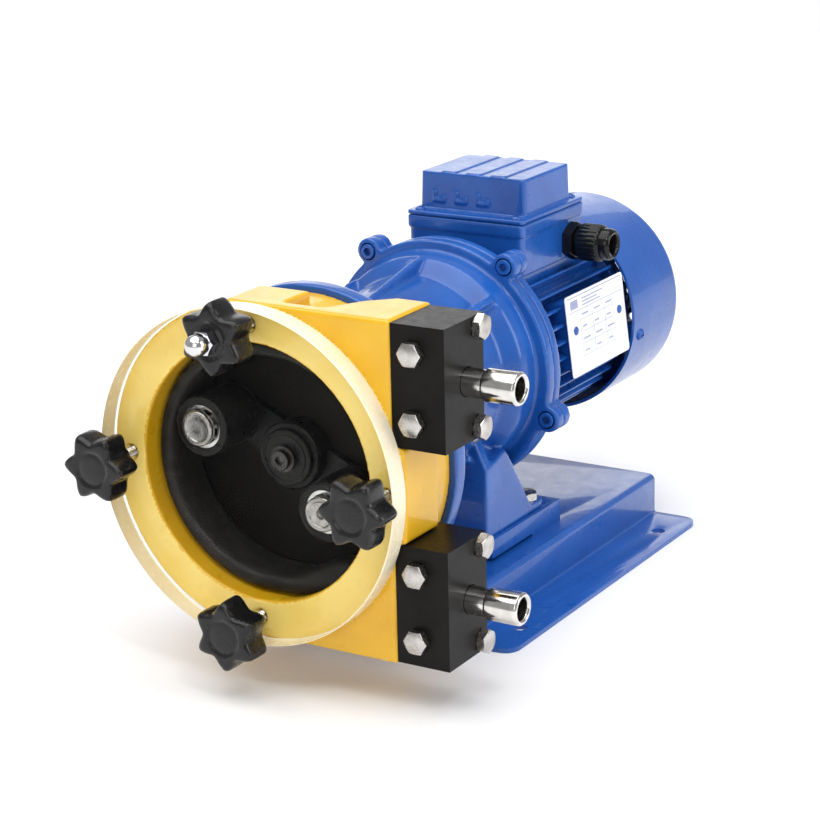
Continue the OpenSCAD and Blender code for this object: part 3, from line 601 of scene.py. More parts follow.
def riser_pad():
    """Packing under the foot, relieved along the front of each side."""
    low, high = span("riser_pad")
    pad = block(low.x, high.x, low.y, high.y, low.z, high.z)
    wide, long, deep = 7, 52, 2.2
    relief = [block(x - wide, x + wide, low.y - 1, low.y + long, low.z - 1, low.z + deep)
              for x in (low.x, high.x)]
    holes = [rod_along_z(HOLE_R, low.z - 1, high.z + 1, c.x, c.y) for c in FOOT_BOLTS]
    piece("riser_pad", (bevelled(cut(pad, relief + holes), 1.0, 3, 40), "blue_sheet"))


def foot_fasteners():
    """Four bolts down through foot, packing and sheet, with nuts below."""
    bolts, nuts = [], []
    for centre, low, high in solids_of("foot_bolts"):
        seat = span("riser_pad")[1].z + FOOT_T
        head = hex_bolt(8, M8_ACROSS, high.z - seat, 4)
        head = moved(head, at(centre.x, centre.y, seat), ALONG_Z)
        shank = moved(thread(4, low.z, seat, M8_PITCH), at(centre.x, centre.y, 0), ALONG_Z)
        bolts += [head, shank]
    for centre, low, high in solids_of("foot_nuts"):
        height = high.z - low.z
        nut = cut(moved(hex_prism(M8_ACROSS, 0, height), BACKWARDS), [rod(4.02, -9, 1)])
        nuts.append(moved(nut, at(centre.x, centre.y, high.z), ALONG_Z))
    piece("foot_bolts", (joined(*bolts), "steel_zinc"))
    piece("foot_nuts", (joined(*nuts), "steel_zinc"))


# ---- gearbox and motor flange ----

FLANGE_R, FLANGE_Y0, FLANGE_Y1 = 96.0, 62.0, 74.0
NECK_R, NECK_Y = 56.0, 112.0
CASE_R, CASE_Z, CASE_Y0, CASE_Y1, CASE_BACK = 80.5, 11.8, 204.0, 213.0, 222.0
BELL = [(0, 90), (52, 92), (56, 100), (57, 112), (61.5, 180), (70.8, 189.5), (72, 205), (0, 205)]
RIB = [(40, 73), (60, 73), (60, 125), (63, 140), (71.5, 180), (71.5, 189), (40, 189)]
LUGS = centres("flange_screws")
HOUSING_BOLTS = centres("housing_bolts")
LUG_R, LUG_SEAT_Y = 8.5, 209.0
PLUG_X, PLUG_Y, PLUG_TURN = 62.0, 148, -20
WEB_Y0, WEB_Y1 = 159, 177
FOOT_X, FOOT_Y0, FOOT_Y1, FOOT_TOE = 59.0, 162.0, 220.0, 236.0
ARCH_X, ARCH_TOP_Z, HIP_Z = 34, -52, -39
FOOT_Z = span("riser_pad")[1].z
CAST_VOXEL, CAST_PASSES = 1.25, 7


def plug_place(mesh):
    """A mesh drawn along +Y, moved to point out of the bell where the oil plug is."""
    return moved(mesh, round_y(PLUG_TURN, MOTOR_Z), at(0, PLUG_Y, MOTOR_Z), ALONG_X)


def lug_ring(y0, y1):
    """Bolt lugs round the motor flange, each with a web towards the axis."""
    solids = []
    for c in LUGS:
        solids.append(rod(LUG_R, y0, y1, c.x, c.z))
        inner = (c.x * 0.7, c.z * 0.7 + 5)
        web = [(c.x - 8, c.z), (c.x + 8, c.z), (inner[0] + 8, inner[1]), (inner[0] - 8, inner[1])]
        solids.append(prism(web, y0 + 0.2, y1 - 0.2))
    return solids


def bell_ribs():
    """Eight ribs along the bell, but for the one where the foot is."""
    solids = []
    for turn in range(0, 360, 45):
        if turn != 270:
            rib = moved(prism([(r, -y) for r, y in RIB], -2.4, 2.4), ALONG_Z)
            solids.append(moved(rib, round_y(turn, MOTOR_Z), at(0, 0, MOTOR_Z)))
    return solids


def foot_solids():
    """A webbed front plate with an arch, two tapered side gussets, and the toes."""
    half = [(16, ARCH_TOP_Z), (ARCH_X, FOOT_Z + 10), (ARCH_X, FOOT_Z), (FOOT_X, FOOT_Z),
            (FOOT_X, HIP_Z), (50, -20)]
    mirrored = [(-x, z) for x, z in reversed(half)]
    plate = mirrored[2:] + half + mirrored[:2]
    gusset = [(FOOT_Y0, FOOT_Z), (FOOT_Y1, FOOT_Z), (FOOT_Y1, FOOT_Z + FOOT_T), (191.6, -36.6),
              (186, -31), (FOOT_Y0, HIP_Z)]
    solids = [prism(plate, FOOT_Y0, FOOT_Y0 + 9), block(-40, 40, FOOT_Y0 + 2, FOOT_Y0 + 26, -64, -44)]
    for side in (-1, 1):
        wall = moved(prism([(-y, z) for y, z in gusset], FOOT_X - 7, FOOT_X), ALONG_X)
        solids.append(wall if side > 0 else moved(wall, at(-2 * FOOT_X + 7, 0, 0)))
        x0, x1 = sorted((side * ARCH_X, side * FOOT_X))
        solids.append(block(x0, x1, FOOT_Y0, FOOT_TOE, FOOT_Z, FOOT_Z + FOOT_T))
    return solids


def gearcase():
    """Output flange, lantern neck, ribbed bell and foot, cast in one and hollow for the gears."""
    mid_x, mid_z = middle("intermediate_shaft", "x"), middle("intermediate_shaft", "z")
    solids = [puck(FLANGE_R, FLANGE_Y0, FLANGE_Y1, 1.5, sides=160),
              rod(NECK_R, FLANGE_Y1 - 1, NECK_Y, sides=128),
              lathe(softened(BELL, 2, 3, False), z=MOTOR_Z, sides=160),
              puck(CASE_R, CASE_Y0, CASE_Y1, 1.2, z=CASE_Z, sides=160),
              plug_place(rod(9.5, 52, PLUG_X - 0.1))]
    solids += lug_ring(CASE_Y0, CASE_Y1) + bell_ribs() + foot_solids()
    # the hollow in the flange end, and the output shaft's hole
    cutters = [rod(46, FLANGE_Y0 + 2, 88), rod(11.5, 61, 100)]
    # the gear chamber, and the room for the motor's pinion behind the web
    cutters += [rod(53, NECK_Y, WEB_Y0 + 1, 0, MOTOR_Z), rod(59, WEB_Y1 - 1, CASE_Y1 + 1, 0, MOTOR_Z)]
    # the output shaft's two bearing seats
    cutters += [rod(21, 98, 113), rod(21, 162, WEB_Y1), rod(11, WEB_Y0, WEB_Y1)]
    # the intermediate shaft's two bearing seats
    cutters += [rod(14, 100, 113, mid_x, mid_z), rod(14, WEB_Y0, 168, mid_x, mid_z),
                rod(8, WEB_Y0, WEB_Y1, mid_x, mid_z)]
    cutters += [rod_along_z(4.5, FOOT_Z - 1, FOOT_Z + 9, c.x, c.y) for c in FOOT_BOLTS]
    cutters += [rod(3.3, FLANGE_Y0 - 1, FLANGE_Y1 + 1, c.x, c.z) for c in HOUSING_BOLTS]
    casting = cast(solids, cutters, CAST_VOXEL, CAST_PASSES)
    bores = [rod(3.3, CASE_Y0 - 1, CASE_Y1 + 1, c.x, c.z) for c in LUGS]
    bores += [rod(5.8, CASE_Y0 - 1, LUG_SEAT_Y, c.x, c.z) for c in LUGS]
    piece("gearcase", (cut(casting, bores), "blue_cast"), smooth=60)


def motor_flange():
    """Flange between gearbox and motor, with its own lugs and a spigot for the frame."""
    front, back = CASE_Y1 + 0.15, CASE_BACK - 1
    solids = [puck(CASE_R, front, back, 1.2, z=CASE_Z, sides=160),
              rod(66, front, CASE_BACK - 0.1, 0, MOTOR_Z, 128),
              rod(FRAME_BORE - 0.2, back, CASE_BACK + 7, 0, MOTOR_Z, 128)]
    solids += lug_ring(front, back)
    # the motor bearing's seat, the shaft's hole, and a pocket round them at the back
    cutters = [rod(20, 215, 230, 0, MOTOR_Z), rod(10.5, front - 1, 230, 0, MOTOR_Z),
               ring(24, 38, 217, 230, 0.5, MOTOR_Z)]
    cutters += [rod(3.1, front - 1, back + 1, c.x, c.z) for c in LUGS]
    piece("motor_flange", (cast(solids, cutters, 1.1, 5), "blue_cast"), smooth=60)


def gearbox_fasteners():
    """Socket screws in the lugs, bolts into the pump housing, and the oil plug on its washer."""
    screws = [moved(cap_screw(6, 4.8, 6, 11, 5), at(c.x, LUG_SEAT_Y, c.z), BACKWARDS) for c in LUGS]
    piece("flange_screws", (joined(*screws), "blue_cast"))
    bolts = [moved(hex_bolt(6, 10, 4.2, 28, 0.3), at(c.x, FLANGE_Y1 + 0.02, c.z))
             for c in HOUSING_BOLTS]
    piece("housing_bolts", (joined(*bolts), "steel_zinc"))
    head, washer = hex_prism(14, 0, 5.4), ring(4.9, 8.5, PLUG_X, PLUG_X + 0.7, 0.2)
    plug = joined(moved(head, at(0, PLUG_X + 0.6, 0)), washer, rod(4.9, 54, PLUG_X + 1))
    piece("oil_plug", (plug_place(moved(plug, QUARTER)), "steel_zinc"))


# ---- motor ----

FRAME_Y0, FRAME_Y1, FRAME_R, FRAME_BORE, FIN_R = CASE_BACK, 355.0, 50.0, 45.0, 62.0
FINS = 36
PLATE_TURN, PLATE_X, PLATE_Y0, PLATE_Y1, PLATE_HALF = 7.0, 64.0, 263.0, 344.5, 26.6
RIVET_R, RIVET_YS = 2.8, (273.0, 335.0)
COWL_SCREW_TURNS, COWL_SCREW_Y = (-10, 80, 170, 260), 359.0
COWL_LOW, COWL_HIGH = span("fan_cover")
COWL_R = (COWL_HIGH.x - COWL_LOW.x) / 2
BOX_LOW, BOX_HIGH = span("terminal_box")


def plate_place(x, y=0.0, z=0.0):
    """From the motor axis out to a place on the nameplate's flat."""
    return round_y(PLATE_TURN, MOTOR_Z) @ at(x, y, z + MOTOR_Z)


def fin_outline():
    """The finned tube's section: each fin tapers to a rounded tip, with a fillet at its root."""
    out = []
    step = tau / FINS
    profile = [(-0.36, FRAME_R), (-0.2, FRAME_R + 0.4), (-0.155, FRAME_R + 2), (-0.105, FIN_R - 1.2),
               (-0.07, FIN_R - 0.3), (0, FIN_R), (0.07, FIN_R - 0.3), (0.105, FIN_R - 1.2),
               (0.155, FRAME_R + 2), (0.2, FRAME_R + 0.4), (0.36, FRAME_R)]
    for i in range(FINS):
        for share, r in profile:
            a = (i + 0.5 + share) * step
            out.append((r * cos(a), MOTOR_Z + r * sin(a)))
    return out


def stator_frame():
    """Aluminium frame with fins, flats for the terminal box and the nameplate, and end rings."""
    finned = prism(fin_outline(), FRAME_Y0 + 4, FRAME_Y1 - 2)
    for end in (FRAME_Y0 + 4, FRAME_Y1 - 2):
        outward = -4 if end == FRAME_Y0 + 4 else 4
        slope = [(FIN_R + 1, end - 4), (FIN_R + 1, end + 4), (FRAME_R + 6, end + outward)]
        finned = cut(finned, [lathe(slope, z=MOTOR_Z, close=True)])
    top = block(-44, 44, BOX_LOW.y - 2, BOX_HIGH.y + 2, 46 + MOTOR_Z, 80 + MOTOR_Z)
    finned = cut(finned, [top])
    tube = rod(FRAME_R + 0.02, FRAME_Y0, FRAME_Y1, 0, MOTOR_Z, sides=144)
    pad = moved(block(47, PLATE_X, PLATE_Y0 + 4, PLATE_Y1 - 4, -22, 22), plate_place(0))
    seat = block(-38, 38, BOX_LOW.y + 4, BOX_HIGH.y - 4, 40, BOX_LOW.z + 2)
    body = combined(finned, [tube, pad, seat], "UNION")
    wire_way = block(-18, 18, 262, 306, 50, 67)
    body = cut(body, [rod(FRAME_BORE, FRAME_Y0 - 1, FRAME_Y1 + 1, 0, MOTOR_Z), wire_way])
    piece("stator_frame", (bevelled(body, 0.5, 2, 40), "blue_cast"), smooth=40)


def cowl_screw_place(mesh, turn):
    """A mesh drawn along +Y, moved to point out from the motor axis through a cover screw."""
    return moved(mesh, round_y(turn, MOTOR_Z), at(0, COWL_SCREW_Y, MOTOR_Z), ALONG_X)


def rear_end_shield():
    """Bearing shield behind the frame, with four lugs that carry the fan cover."""
    # (radius, y) round the section: the shaft's hole, the spigot in the frame, the rim, the back
    profile = [(10.5, 352), (38, 352), (38, 349), (44.9, 349), (44.9, FRAME_Y1), (56, FRAME_Y1),
               (56, 366), (24, 366), (24, 363), (10.5, 363)]
    shield = lathe(softened(profile, 0.8), z=MOTOR_Z, close=True, sides=128)
    lug = block(52, COWL_R - 2.3, FRAME_Y1, 365, -6, 6)
    lugs = [moved(lug, round_y(turn, MOTOR_Z), at(0, 0, MOTOR_Z)) for turn in COWL_SCREW_TURNS]
    holes = [cowl_screw_place(rod(2.3, 57, COWL_R, sides=24), turn) for turn in COWL_SCREW_TURNS]
    shield = cut(combined(shield, lugs, "UNION"), holes)
    piece("rear_end_shield", (bevelled(shield, 0.6, 2, 50), "blue_cast"))


def fan_cover():
    """Pressed steel cowl with a rounded back edge and a grille of round holes."""
    r, y0, y1, wall, bend, hole_r = COWL_R, COWL_LOW.y, COWL_HIGH.y, 2.0, 8, 3

    def rounded(radius, steps):
        turns = [pi / 20 * k for k in steps]
        return [(r - bend + radius * cos(a), y1 - bend + radius * sin(a)) for a in turns]

    profile = [(r, y0)] + rounded(bend, range(11)) + [(0, y1), (0, y1 - wall)]
    profile += rounded(bend - wall, range(10, -1, -1)) + [(r - wall, y0)]
    shell = lathe(profile, z=MOTOR_Z, sides=160, close=True)
    holes = []
    for circle, count in ((16, 10), (27, 18), (38, 26), (49, 34)):
        for k in range(count):
            a = tau * k / count
            x, z = circle * cos(a), MOTOR_Z + circle * sin(a)
            holes.append(rod(hole_r, y1 - 5, y1 + 1, x, z, 20))
    holes += [cowl_screw_place(rod(2.4, r - 5, r + 2, sides=24), turn) for turn in COWL_SCREW_TURNS]
    piece("fan_cover", (cut(shell, [joined(*holes)]), "blue_sheet"), smooth=30)
    screw = moved(pan_screw(4.4, 4, 2.3, 12), at(0, r + 0.06, 0))
    screws = [cowl_screw_place(screw, turn) for turn in COWL_SCREW_TURNS]
    piece("fan_cover_screws", (joined(*screws), "blue_cast"))


def nameplate():
    """Thin plate with blank printed fields and two domed rivets."""
    y0, y1, half = PLATE_Y0, PLATE_Y1, PLATE_HALF
    outline = softened([(-y0, -half), (-y1, -half), (-y1, half), (-y0, half)], 2.5, 4)
    plate = bevelled(prism(outline, 0, 0.8), 0.2, 1, 60)
    bars = []

    def bar(ya, yb, za, zb):
        bars.append(block(-yb, -ya, 0.79, 0.9, za, zb))

    # two rules across, a square field beside three rows, then a table of four rows
    bar(y0 + 3, y1 - 3, half - 2.2, half - 1.6)
    bar(y0 + 3, y1 - 3, half - 11.6, half - 11.2)
    bar(y0 + 6, y0 + 16, half - 9.5, half - 4)
    for k, length in enumerate((30, 22, 26)):
        bar(y0 + 22, y0 + 22 + length, half - 5.2 - 2.2 * k, half - 4.4 - 2.2 * k)
    for row in range(4):
        z = half - 18 - 8 * row
        bar(y0 + 18, y1 - 18, z - 0.15, z + 0.15)
        for column in range(3):
            start = y0 + 20 + 17 * column
            bar(start, start + 9 - row % 2 * 3, z + 2.5, z + 3.6)
    for y in (y0 + 17.5, y0 + 35, y0 + 52, y1 - 17.5):
        bar(y - 0.15, y + 0.15, half - 42, half - 14)
    along = plate_place(PLATE_X) @ ALONG_X
    ink = moved(joined(*bars), along)
    piece("nameplate", (moved(plate, along), "plate_white"), (ink, "ink_faint"))
    rivets = []
    turns = [t * pi / 10 for t in range(5)]
    dome = [(RIVET_R * cos(a), 0.2 + 1.0 * sin(a)) for a in turns]
    head = lathe([(0, 0), (RIVET_R, 0)] + dome + [(0, 1.2)], sides=40)
    for y in RIVET_YS:
        rivet = joined(head, rod(1.5, -6, 0.1, sides=24))
        rivets.append(moved(rivet, plate_place(PLATE_X + 1, y, 3), ALONG_X))
    piece("nameplate_rivets", (joined(*rivets), "blue_sheet"))


# ---- terminal box ----

LID_LOW, LID_HIGH = span("terminal_lid")
GLAND_Y, GLAND_Z = middle("gland_nut", "y"), middle("gland_nut", "z")


def upright(x0, x1, y0, y1, z0, z1, corner, draft=0.0):
    """A box with rounded upright corners; its walls lean in by draft towards the top."""
    rings = []
    for z, lean in ((z0, 0.0), (z1, draft)):
        plan = [(x0 + lean, y0 + lean), (x1 - lean, y0 + lean), (x1 - lean, y1 - lean),
                (x0 + lean, y1 - lean)]
        rings.append([(x, y, z) for x, y in softened(plan, corner, 6)])
    return stacked(rings)


def terminal_box():
    """Box with a thicker band round its top, on the motor's seat, bored for the cable gland."""
    x, y0, y1, z0, z1 = BOX_HIGH.x, BOX_LOW.y, BOX_HIGH.y, BOX_LOW.z, BOX_HIGH.z
    wall = 4
    solids = [upright(-x + 1, x - 1, y0 + 1, y1 - 1, z0, z1, 4),
              upright(-x, x, y0, y1, z1 - 8, z1 - 0.3, 3.5),
              rod_along_x(11, x - 6, x - 0.2, GLAND_Y, GLAND_Z)]
    cutters = [upright(-x + wall, x - wall, y0 + wall, y1 - wall, z0 + 5, z1 + 1, 3),
               block(-38.1, 38.1, y0 + 3.9, y1 - 3.9, z0 - 1, z0 + 2),
               block(-16, 16, 264, 304, z0, z0 + 6),
               rod_along_x(10, x - 4.5, x + 1, GLAND_Y, GLAND_Z)]
    piece("terminal_box", (cast(solids, cutters, 0.9, 4), "blue_cast"), smooth=60)


def terminal_lid():
    """Lid with a flange, three ribs across its top and three U-shaped marks on its front."""
    x, y0, y1, z0, z1 = LID_HIGH.x, LID_LOW.y, LID_HIGH.y, LID_LOW.z, LID_HIGH.z
    dome_x, dome_y0, dome_y1, top = 38.7, 252.0, 315.0, z1 - 0.9
    solids = [upright(-x, x, y0, y1, z0 + 0.2, z0 + 3, 3.5),
              upright(-dome_x, dome_x, dome_y0, dome_y1, z0 + 1, top, 3.5, 0.7)]
    for rib_x in (-18, 0, 18):
        rib = upright(rib_x - 6, rib_x + 6, dome_y0 + 1.5, dome_y1 - 1.5, top - 2, z1, 3, 0.4)
        solids.append(rib)
    mark_z = z0 + 8
    for mark in (-24, -8, 8):
        # a tall left stroke, a flat one below and a short right one
        for x0, x1, tall in ((-4, -2.6, 6.5), (-4, 4, 1.4), (2.6, 4, 3.5)):
            stroke = block(mark + x0, mark + x1, dome_y0 - 0.8, dome_y0 + 3, mark_z, mark_z + tall)
            solids.append(stroke)
    wall, seat = 3, z0 + 3.02
    cutters = [upright(-dome_x + wall, dome_x - wall, dome_y0 + wall, dome_y1 - wall, z0 - 1,
                       top - wall, 3)]
    cutters += [rod_along_z(2.2, z0 - 1, z0 + 4, c.x, c.y) for c in centres("terminal_lid_screws")]
    piece("terminal_lid", (cast(solids, cutters, 0.8, 3), "blue_cast"), smooth=60)
    screws = [moved(pan_screw(4, 3.4, high.z - z0 - 3.02, 3), at(c.x, c.y, seat), ALONG_Z)
              for c, low, high in solids_of("terminal_lid_screws")]
    piece("terminal_lid_screws", (joined(*screws), "blue_cast"))


def cable_gland():
    """Hexagon body, ribbed compression nut with a domed mouth, and the rubber seal inside it."""
    out = at(0, GLAND_Y, GLAND_Z) @ ALONG_X
    x, bore, across = BOX_HIGH.x, 6.1, 21.8
    nut = cut(moved(hex_prism(across, x, x + 7), QUARTER), [rod(bore, x - 1, x + 8)])
    body = joined(nut, ring(bore, 9.98, x - 4.2, x + 0.5), ring(bore, 9, x + 6.5, x + 20))
    piece("gland_body", (moved(body, out), "plastic_black"))
    # radius, place along the gland from the box's side, and how deep the 24 grip grooves are there
    profile = [(9.02, 9, 0), (11.6, 9, 0.3), (12.3, 9.8, 1), (12.3, 22.5, 1), (11.4, 24, 0.2),
               (10.4, 25, 0), (10.3, 29.5, 0), (9.3, 31.3, 0), (8.2, 32, 0), (6.9, 31.6, 0),
               (6.2, 30.5, 0), (6.2, 22, 0), (9.02, 22, 0)]
    rings = [round_row(x + along, 192, lambda a: r - 0.55 * deep * (0.5 + 0.5 * cos(24 * a)) ** 3)
             for r, along, deep in profile]
    piece("gland_nut", (moved(stacked(rings, close=True), out), "plastic_black"))
    piece("gland_seal", (moved(ring(4, 6.04, x + 4, x + 21), out), "rubber_seal"))


# ---- pump head ----

TRACK_R, CHAMBER_Y, PLATE_T, DRUM_R, HOUSING_Y = 77.0, 50.0, 10.0, 92.0, 62.0
HOUSING_LOW, HOUSING_HIGH = span("pump_housing")
SIDE_X = span("upper_port_block")[0].x
HOSE_Y, HOSE_R, LEG_X, PRESSED_HALF = 26.0, 13.0, 41, 16
CLAMP_X = 112
ROLLER_R = 18.0
STUDS = centres("cover_studs")
STUD_DEPTH = 27.5


def pump_housing():
    """Cast head: round front plate run out square to the ports, drum, corner and stud bosses."""
    top, skin, boss_y, boss_r, boss_half = HOUSING_HIGH.z, 0.15, 37, 70, 17
    # (x, y) of the corners that carry the port blocks, seen from above
    wedge = [(40, 9), (44, 12), (56, 33), (70, 46), (SIDE_X, 46), (SIDE_X, 9)]
    corner = moved(prism([(x, -y) for x, y in wedge], 20, top), ALONG_Z)
    solids = [puck(COVER_R - 1, skin, PLATE_T, 0.8, sides=192),
              block(0, SIDE_X, skin, PLATE_T, -top, top),
              rod(DRUM_R, PLATE_T - 1, HOUSING_Y, sides=160), corner, moved(corner, at(0, 0, -top - 20)),
              block(-boss_half, boss_half, 1, boss_y, boss_r, top),
              block(-boss_half, boss_half, 1, boss_y, -top, -boss_r),
              block(boss_r, HOUSING_HIGH.x, skin, boss_y, -27.5, 27.5),
              block(HOUSING_LOW.x + 5, -boss_r, 1, boss_y, -boss_half, boss_half)]
    # the chamber with the hose's track, the shaft's hole, the seal's seat, and the hose's two legs
    cutters = [rod(TRACK_R, -1, CHAMBER_Y, sides=192), rod(12, CHAMBER_Y - 1, HOUSING_Y + 1),
               rod(17.5, 54, HOUSING_Y + 1)]
    for side in (-1, 1):
        z0, z1 = sorted((side * 49, side * TRACK_R))
        cutters.append(block(0, LEG_X, 8.5, 43.5, z0, z1))
        cutters.append(rod_along_x(HOSE_R + 0.5, LEG_X - 2, SIDE_X + 1, HOSE_Y, side * PORT_Z))
    cutters += [rod(4.2, -1, 28, c.x, c.z) for c in STUDS]
    cutters += [rod(3.1, 44, HOUSING_Y + 1, c.x, c.z) for c in HOUSING_BOLTS]
    casting = cast(solids, cutters, 1.1, 4)
    # flat seats for the port blocks, cut after the smoothing
    seat_z = abs(span("lower_port_block")[1].z) - 0.05
    seats = [block(SIDE_X, COVER_R, -1, HOUSING_Y + 1, *sorted((side * seat_z, side * (top + 1))))
             for side in (-1, 1)]
    obj = piece("pump_housing", (cut(casting, seats), "yellow_cast"), smooth=60)
    # the face under the cover gets the paler yellow, a painted haze of the cover over the same yellow
    # paint
    repaint(obj, "yellow_painted_haze", lambda c: c.y < 0.5 and hypot(c.x, c.z) < COVER_R)
    # the chamber's back wall round the shaft gets a near-black finish in place of the yellow of the
    # casting
    repaint(obj, "chamber_black",
            lambda c: CHAMBER_Y - 0.6 < c.y < 54 and hypot(c.x, c.z) < TRACK_R - 1)


def smooth_step(t):
    """Eases from 0 to 1."""
    t = min(1.0, max(0.0, t))
    return t * t * (3 - 2 * t)


def hose_stations():
    """(centre x, centre z, outward x, outward z, half thickness, half width) along the hose."""
    low, high = span("hose")
    inner, outer = ORBIT + ROLLER_R + 0.4, TRACK_R - 0.3
    mid, half = (inner + outer) / 2, (outer - inner) / 2

    def leg(x, side):
        """One station of a straight leg, which opens from pressed to round over 36 mm."""
        opening = smooth_step((x - 12) / 36)
        near = inner + (PORT_Z - HOSE_R - inner) * opening
        far = outer + (PORT_Z + HOSE_R - outer) * opening
        wide = PRESSED_HALF + (HOSE_R - PRESSED_HALF) * opening
        return (x, side * (near + far) / 2, 0, side, (far - near) / 2, wide)

    legs = [2 + 2 * k for k in range(24)] + [60, 75, 90, high.x]
    around = [radians(90 + 2.5 * k) for k in range(73)]
    return ([leg(x, 1) for x in reversed(legs)]
            + [(mid * cos(a), mid * sin(a), cos(a), sin(a), half, PRESSED_HALF) for a in around]
            + [leg(x, -1) for x in legs])


def hose():
    """One continuous hose, round at the ports and pressed to a flat oval along the track."""
    rings = []
    sides = 48
    for x, z, out_x, out_z, thick, wide in hose_stations():
        power = 0.72 + 0.28 * min(1.0, max(0.0, (thick / wide - 0.4) / 0.6))
        row = []
        for k in range(sides):
            a = tau * k / sides
            c = copysign(abs(cos(a)) ** power, cos(a)) * thick
            d = copysign(abs(sin(a)) ** power, sin(a)) * wide
            row.append((x + out_x * c, HOSE_Y + d, z + out_z * c))
        rings.append(row)
    piece("hose", (stacked(rings), "rubber_hose"), smooth=50)


def shaft_seal():
    """Lip seal between the rotor's shaft and the housing's back wall."""
    profile = [(10.03, 58), (11.6, 55.2), (11.6, 54.5), (17.4, 54.5), (17.4, 61.5), (11.6, 61.5),
               (11.4, 59.5)]
    piece("shaft_seal", (lathe(softened(profile, 0.4, 2), close=True), "rubber_seal"))


def port_blocks():
    """Plastic blocks that clamp the hose ends and nipples, drilled for their bolts."""
    for node, side in (("upper_port_block", 1), ("lower_port_block", -1)):
        low, high = span(node)
        z = side * PORT_Z
        body = block(low.x, high.x, low.y, high.y, low.z, high.z)
        # the hose's end, the nipple's flange, and the way out for the nipple
        cutters = [rod_along_x(HOSE_R + 0.3, low.x - 1, 105.5, HOSE_Y, z),
                   rod_along_x(11.2, 105, CLAMP_X, PORT_Y, z),
                   rod_along_x(8.6, CLAMP_X - 1, high.x + 1, PORT_Y, z)]
        cutters += [rod(4.1, low.y - 1, 36, c.x, c.z)
                    for c in centres("block_front_bolts") if c.z * z > 0]
        cutters += [rod_along_x(4.3, low.x - 1, high.x + 1, c.y, c.z)
                    for c in centres("block_side_bolts") if c.z * z > 0]
        piece(node, (bevelled(cut(body, cutters), 0.7, 3, 40), "plastic_block"))


def nipples():
    """Turned stainless nipples: a flange inside the block, a waist and a wider smooth end."""
    for node, side in (("upper_nipple", 1), ("lower_nipple", -1)):
        low, high = span(node)
        bore, waist, end_r = 6.5, 8.2, 9.5
        profile = [(bore, low.x), (11, low.x), (11, CLAMP_X - 0.1), (waist, CLAMP_X - 0.1),
                   (waist, 124.8), (waist, 136.5), (waist, 137.4), (end_r, 138.4),
                   (end_r, high.x - 1.2), (end_r - 0.9, high.x), (bore + 0.9, high.x),
                   (bore, high.x - 1.2)]
        nipple = lathe(softened(profile, 0.25, 2), close=True, sides=128)
        piece(node, (moved(nipple, at(0, PORT_Y, side * PORT_Z), ALONG_X), "stainless_polished"))


def block_bolts():
    """M8 bolts through the port blocks, two from the front and two from the side of each."""
    front, side = hex_bolt(8, M8_ACROSS, M8_HEAD, 30), hex_bolt(8, M8_ACROSS, M8_HEAD, 44)
    bolts = [moved(front, at(c.x, low.y + M8_HEAD, c.z), BACKWARDS)
             for c, low, high in solids_of("block_front_bolts")]
    piece("block_front_bolts", (joined(*bolts), "steel_zinc"))
    bolts = [moved(side, at(high.x - M8_HEAD, c.y, c.z), ALONG_X, QUARTER)
             for c, low, high in solids_of("block_side_bolts")]
    piece("block_side_bolts", (joined(*bolts), "steel_zinc"))


def cover_studs():
    """Four threaded studs; each one's inner end is STUD_DEPTH behind the housing's face."""
    studs = [moved(thread(4, low.y - STUD_DEPTH, 0, M8_PITCH), at(c.x, high.y, c.z))
             for c, low, high in solids_of("cover_studs")]
    piece("cover_studs", (joined(*studs), "steel_zinc"), smooth=50)


# ---- rotor ----

ROTOR = round_y(ROTOR_TURN)
ARM_Y0, ARM_Y1, HUB_Y = 44.0, 49.4, 32.0
SHAFT_R, PIN_R, LOBE_R = 10.0, 6.0, 13
SCREW_SEAT_Y = 28.6


def rotor_arm():
    """Two-ended arm with a stepped hub, and bored ends for the roller pins."""
    lobe = arc(ORBIT, 0, LOBE_R, -90, 90, 30)
    outline = softened(lobe + [(-x, -z) for x, z in lobe], 0)
    arm = prism(outline, ARM_Y0, ARM_Y1)
    hub = puck(17, HUB_Y, ARM_Y1, 1.2)
    step_r, step_y = 20.5, HUB_Y + 3.5
    step = lathe([(0, step_y), (step_r - 1, step_y), (step_r, step_y + 1), (step_r, ARM_Y1),
                  (0, ARM_Y1)])
    arm = combined(arm, [step, hub], "UNION")
    # a groove in the hub's face, the shaft's bore, the screw's hole, the keyway, the pins' holes
    groove = ring(13.4, 14.4, HUB_Y - 1, HUB_Y + 0.7, 0.1)
    key = moved(block(-3, 3, 35.5, ARM_Y1 + 1, 0, SHAFT_R + 2.5), round_y(-ROTOR_TURN))
    cutters = [groove, rod(SHAFT_R + 0.02, 34, ARM_Y1 + 1), rod(3.3, 31, 35), key]
    cutters += [rod(PIN_R + 0.02, ARM_Y0 - 1, ARM_Y1 + 1, side * ORBIT, 0) for side in (-1, 1)]
    arm = bevelled(cut(arm, cutters), 0.5, 2, 50)
    piece("rotor_arm", (moved(arm, ROTOR), "rotor_black"))


def roller_pins():
    """Shouldered pins with a wide stepped head and a hexagon socket."""
    profile = [(0, 4.0), (7.2, 4.0), (7.8, 3.2), (9.7, 3.2), (10.5, 4.0), (10.5, 6.6), (9.9, 7.3),
               (PIN_R, 7.3), (PIN_R, ARM_Y1 - 1), (PIN_R - 0.6, ARM_Y1 - 0.4), (0, ARM_Y1 - 0.4)]
    pin = cut(lathe(softened(profile, 0.3, 2, False)), [hex_prism(6, 1, 5.6, False)])
    pins = [moved(pin, at(side * ORBIT, 0, 0)) for side in (-1, 1)]
    piece("roller_pins", (moved(joined(*pins), ROTOR), "steel_turned"))


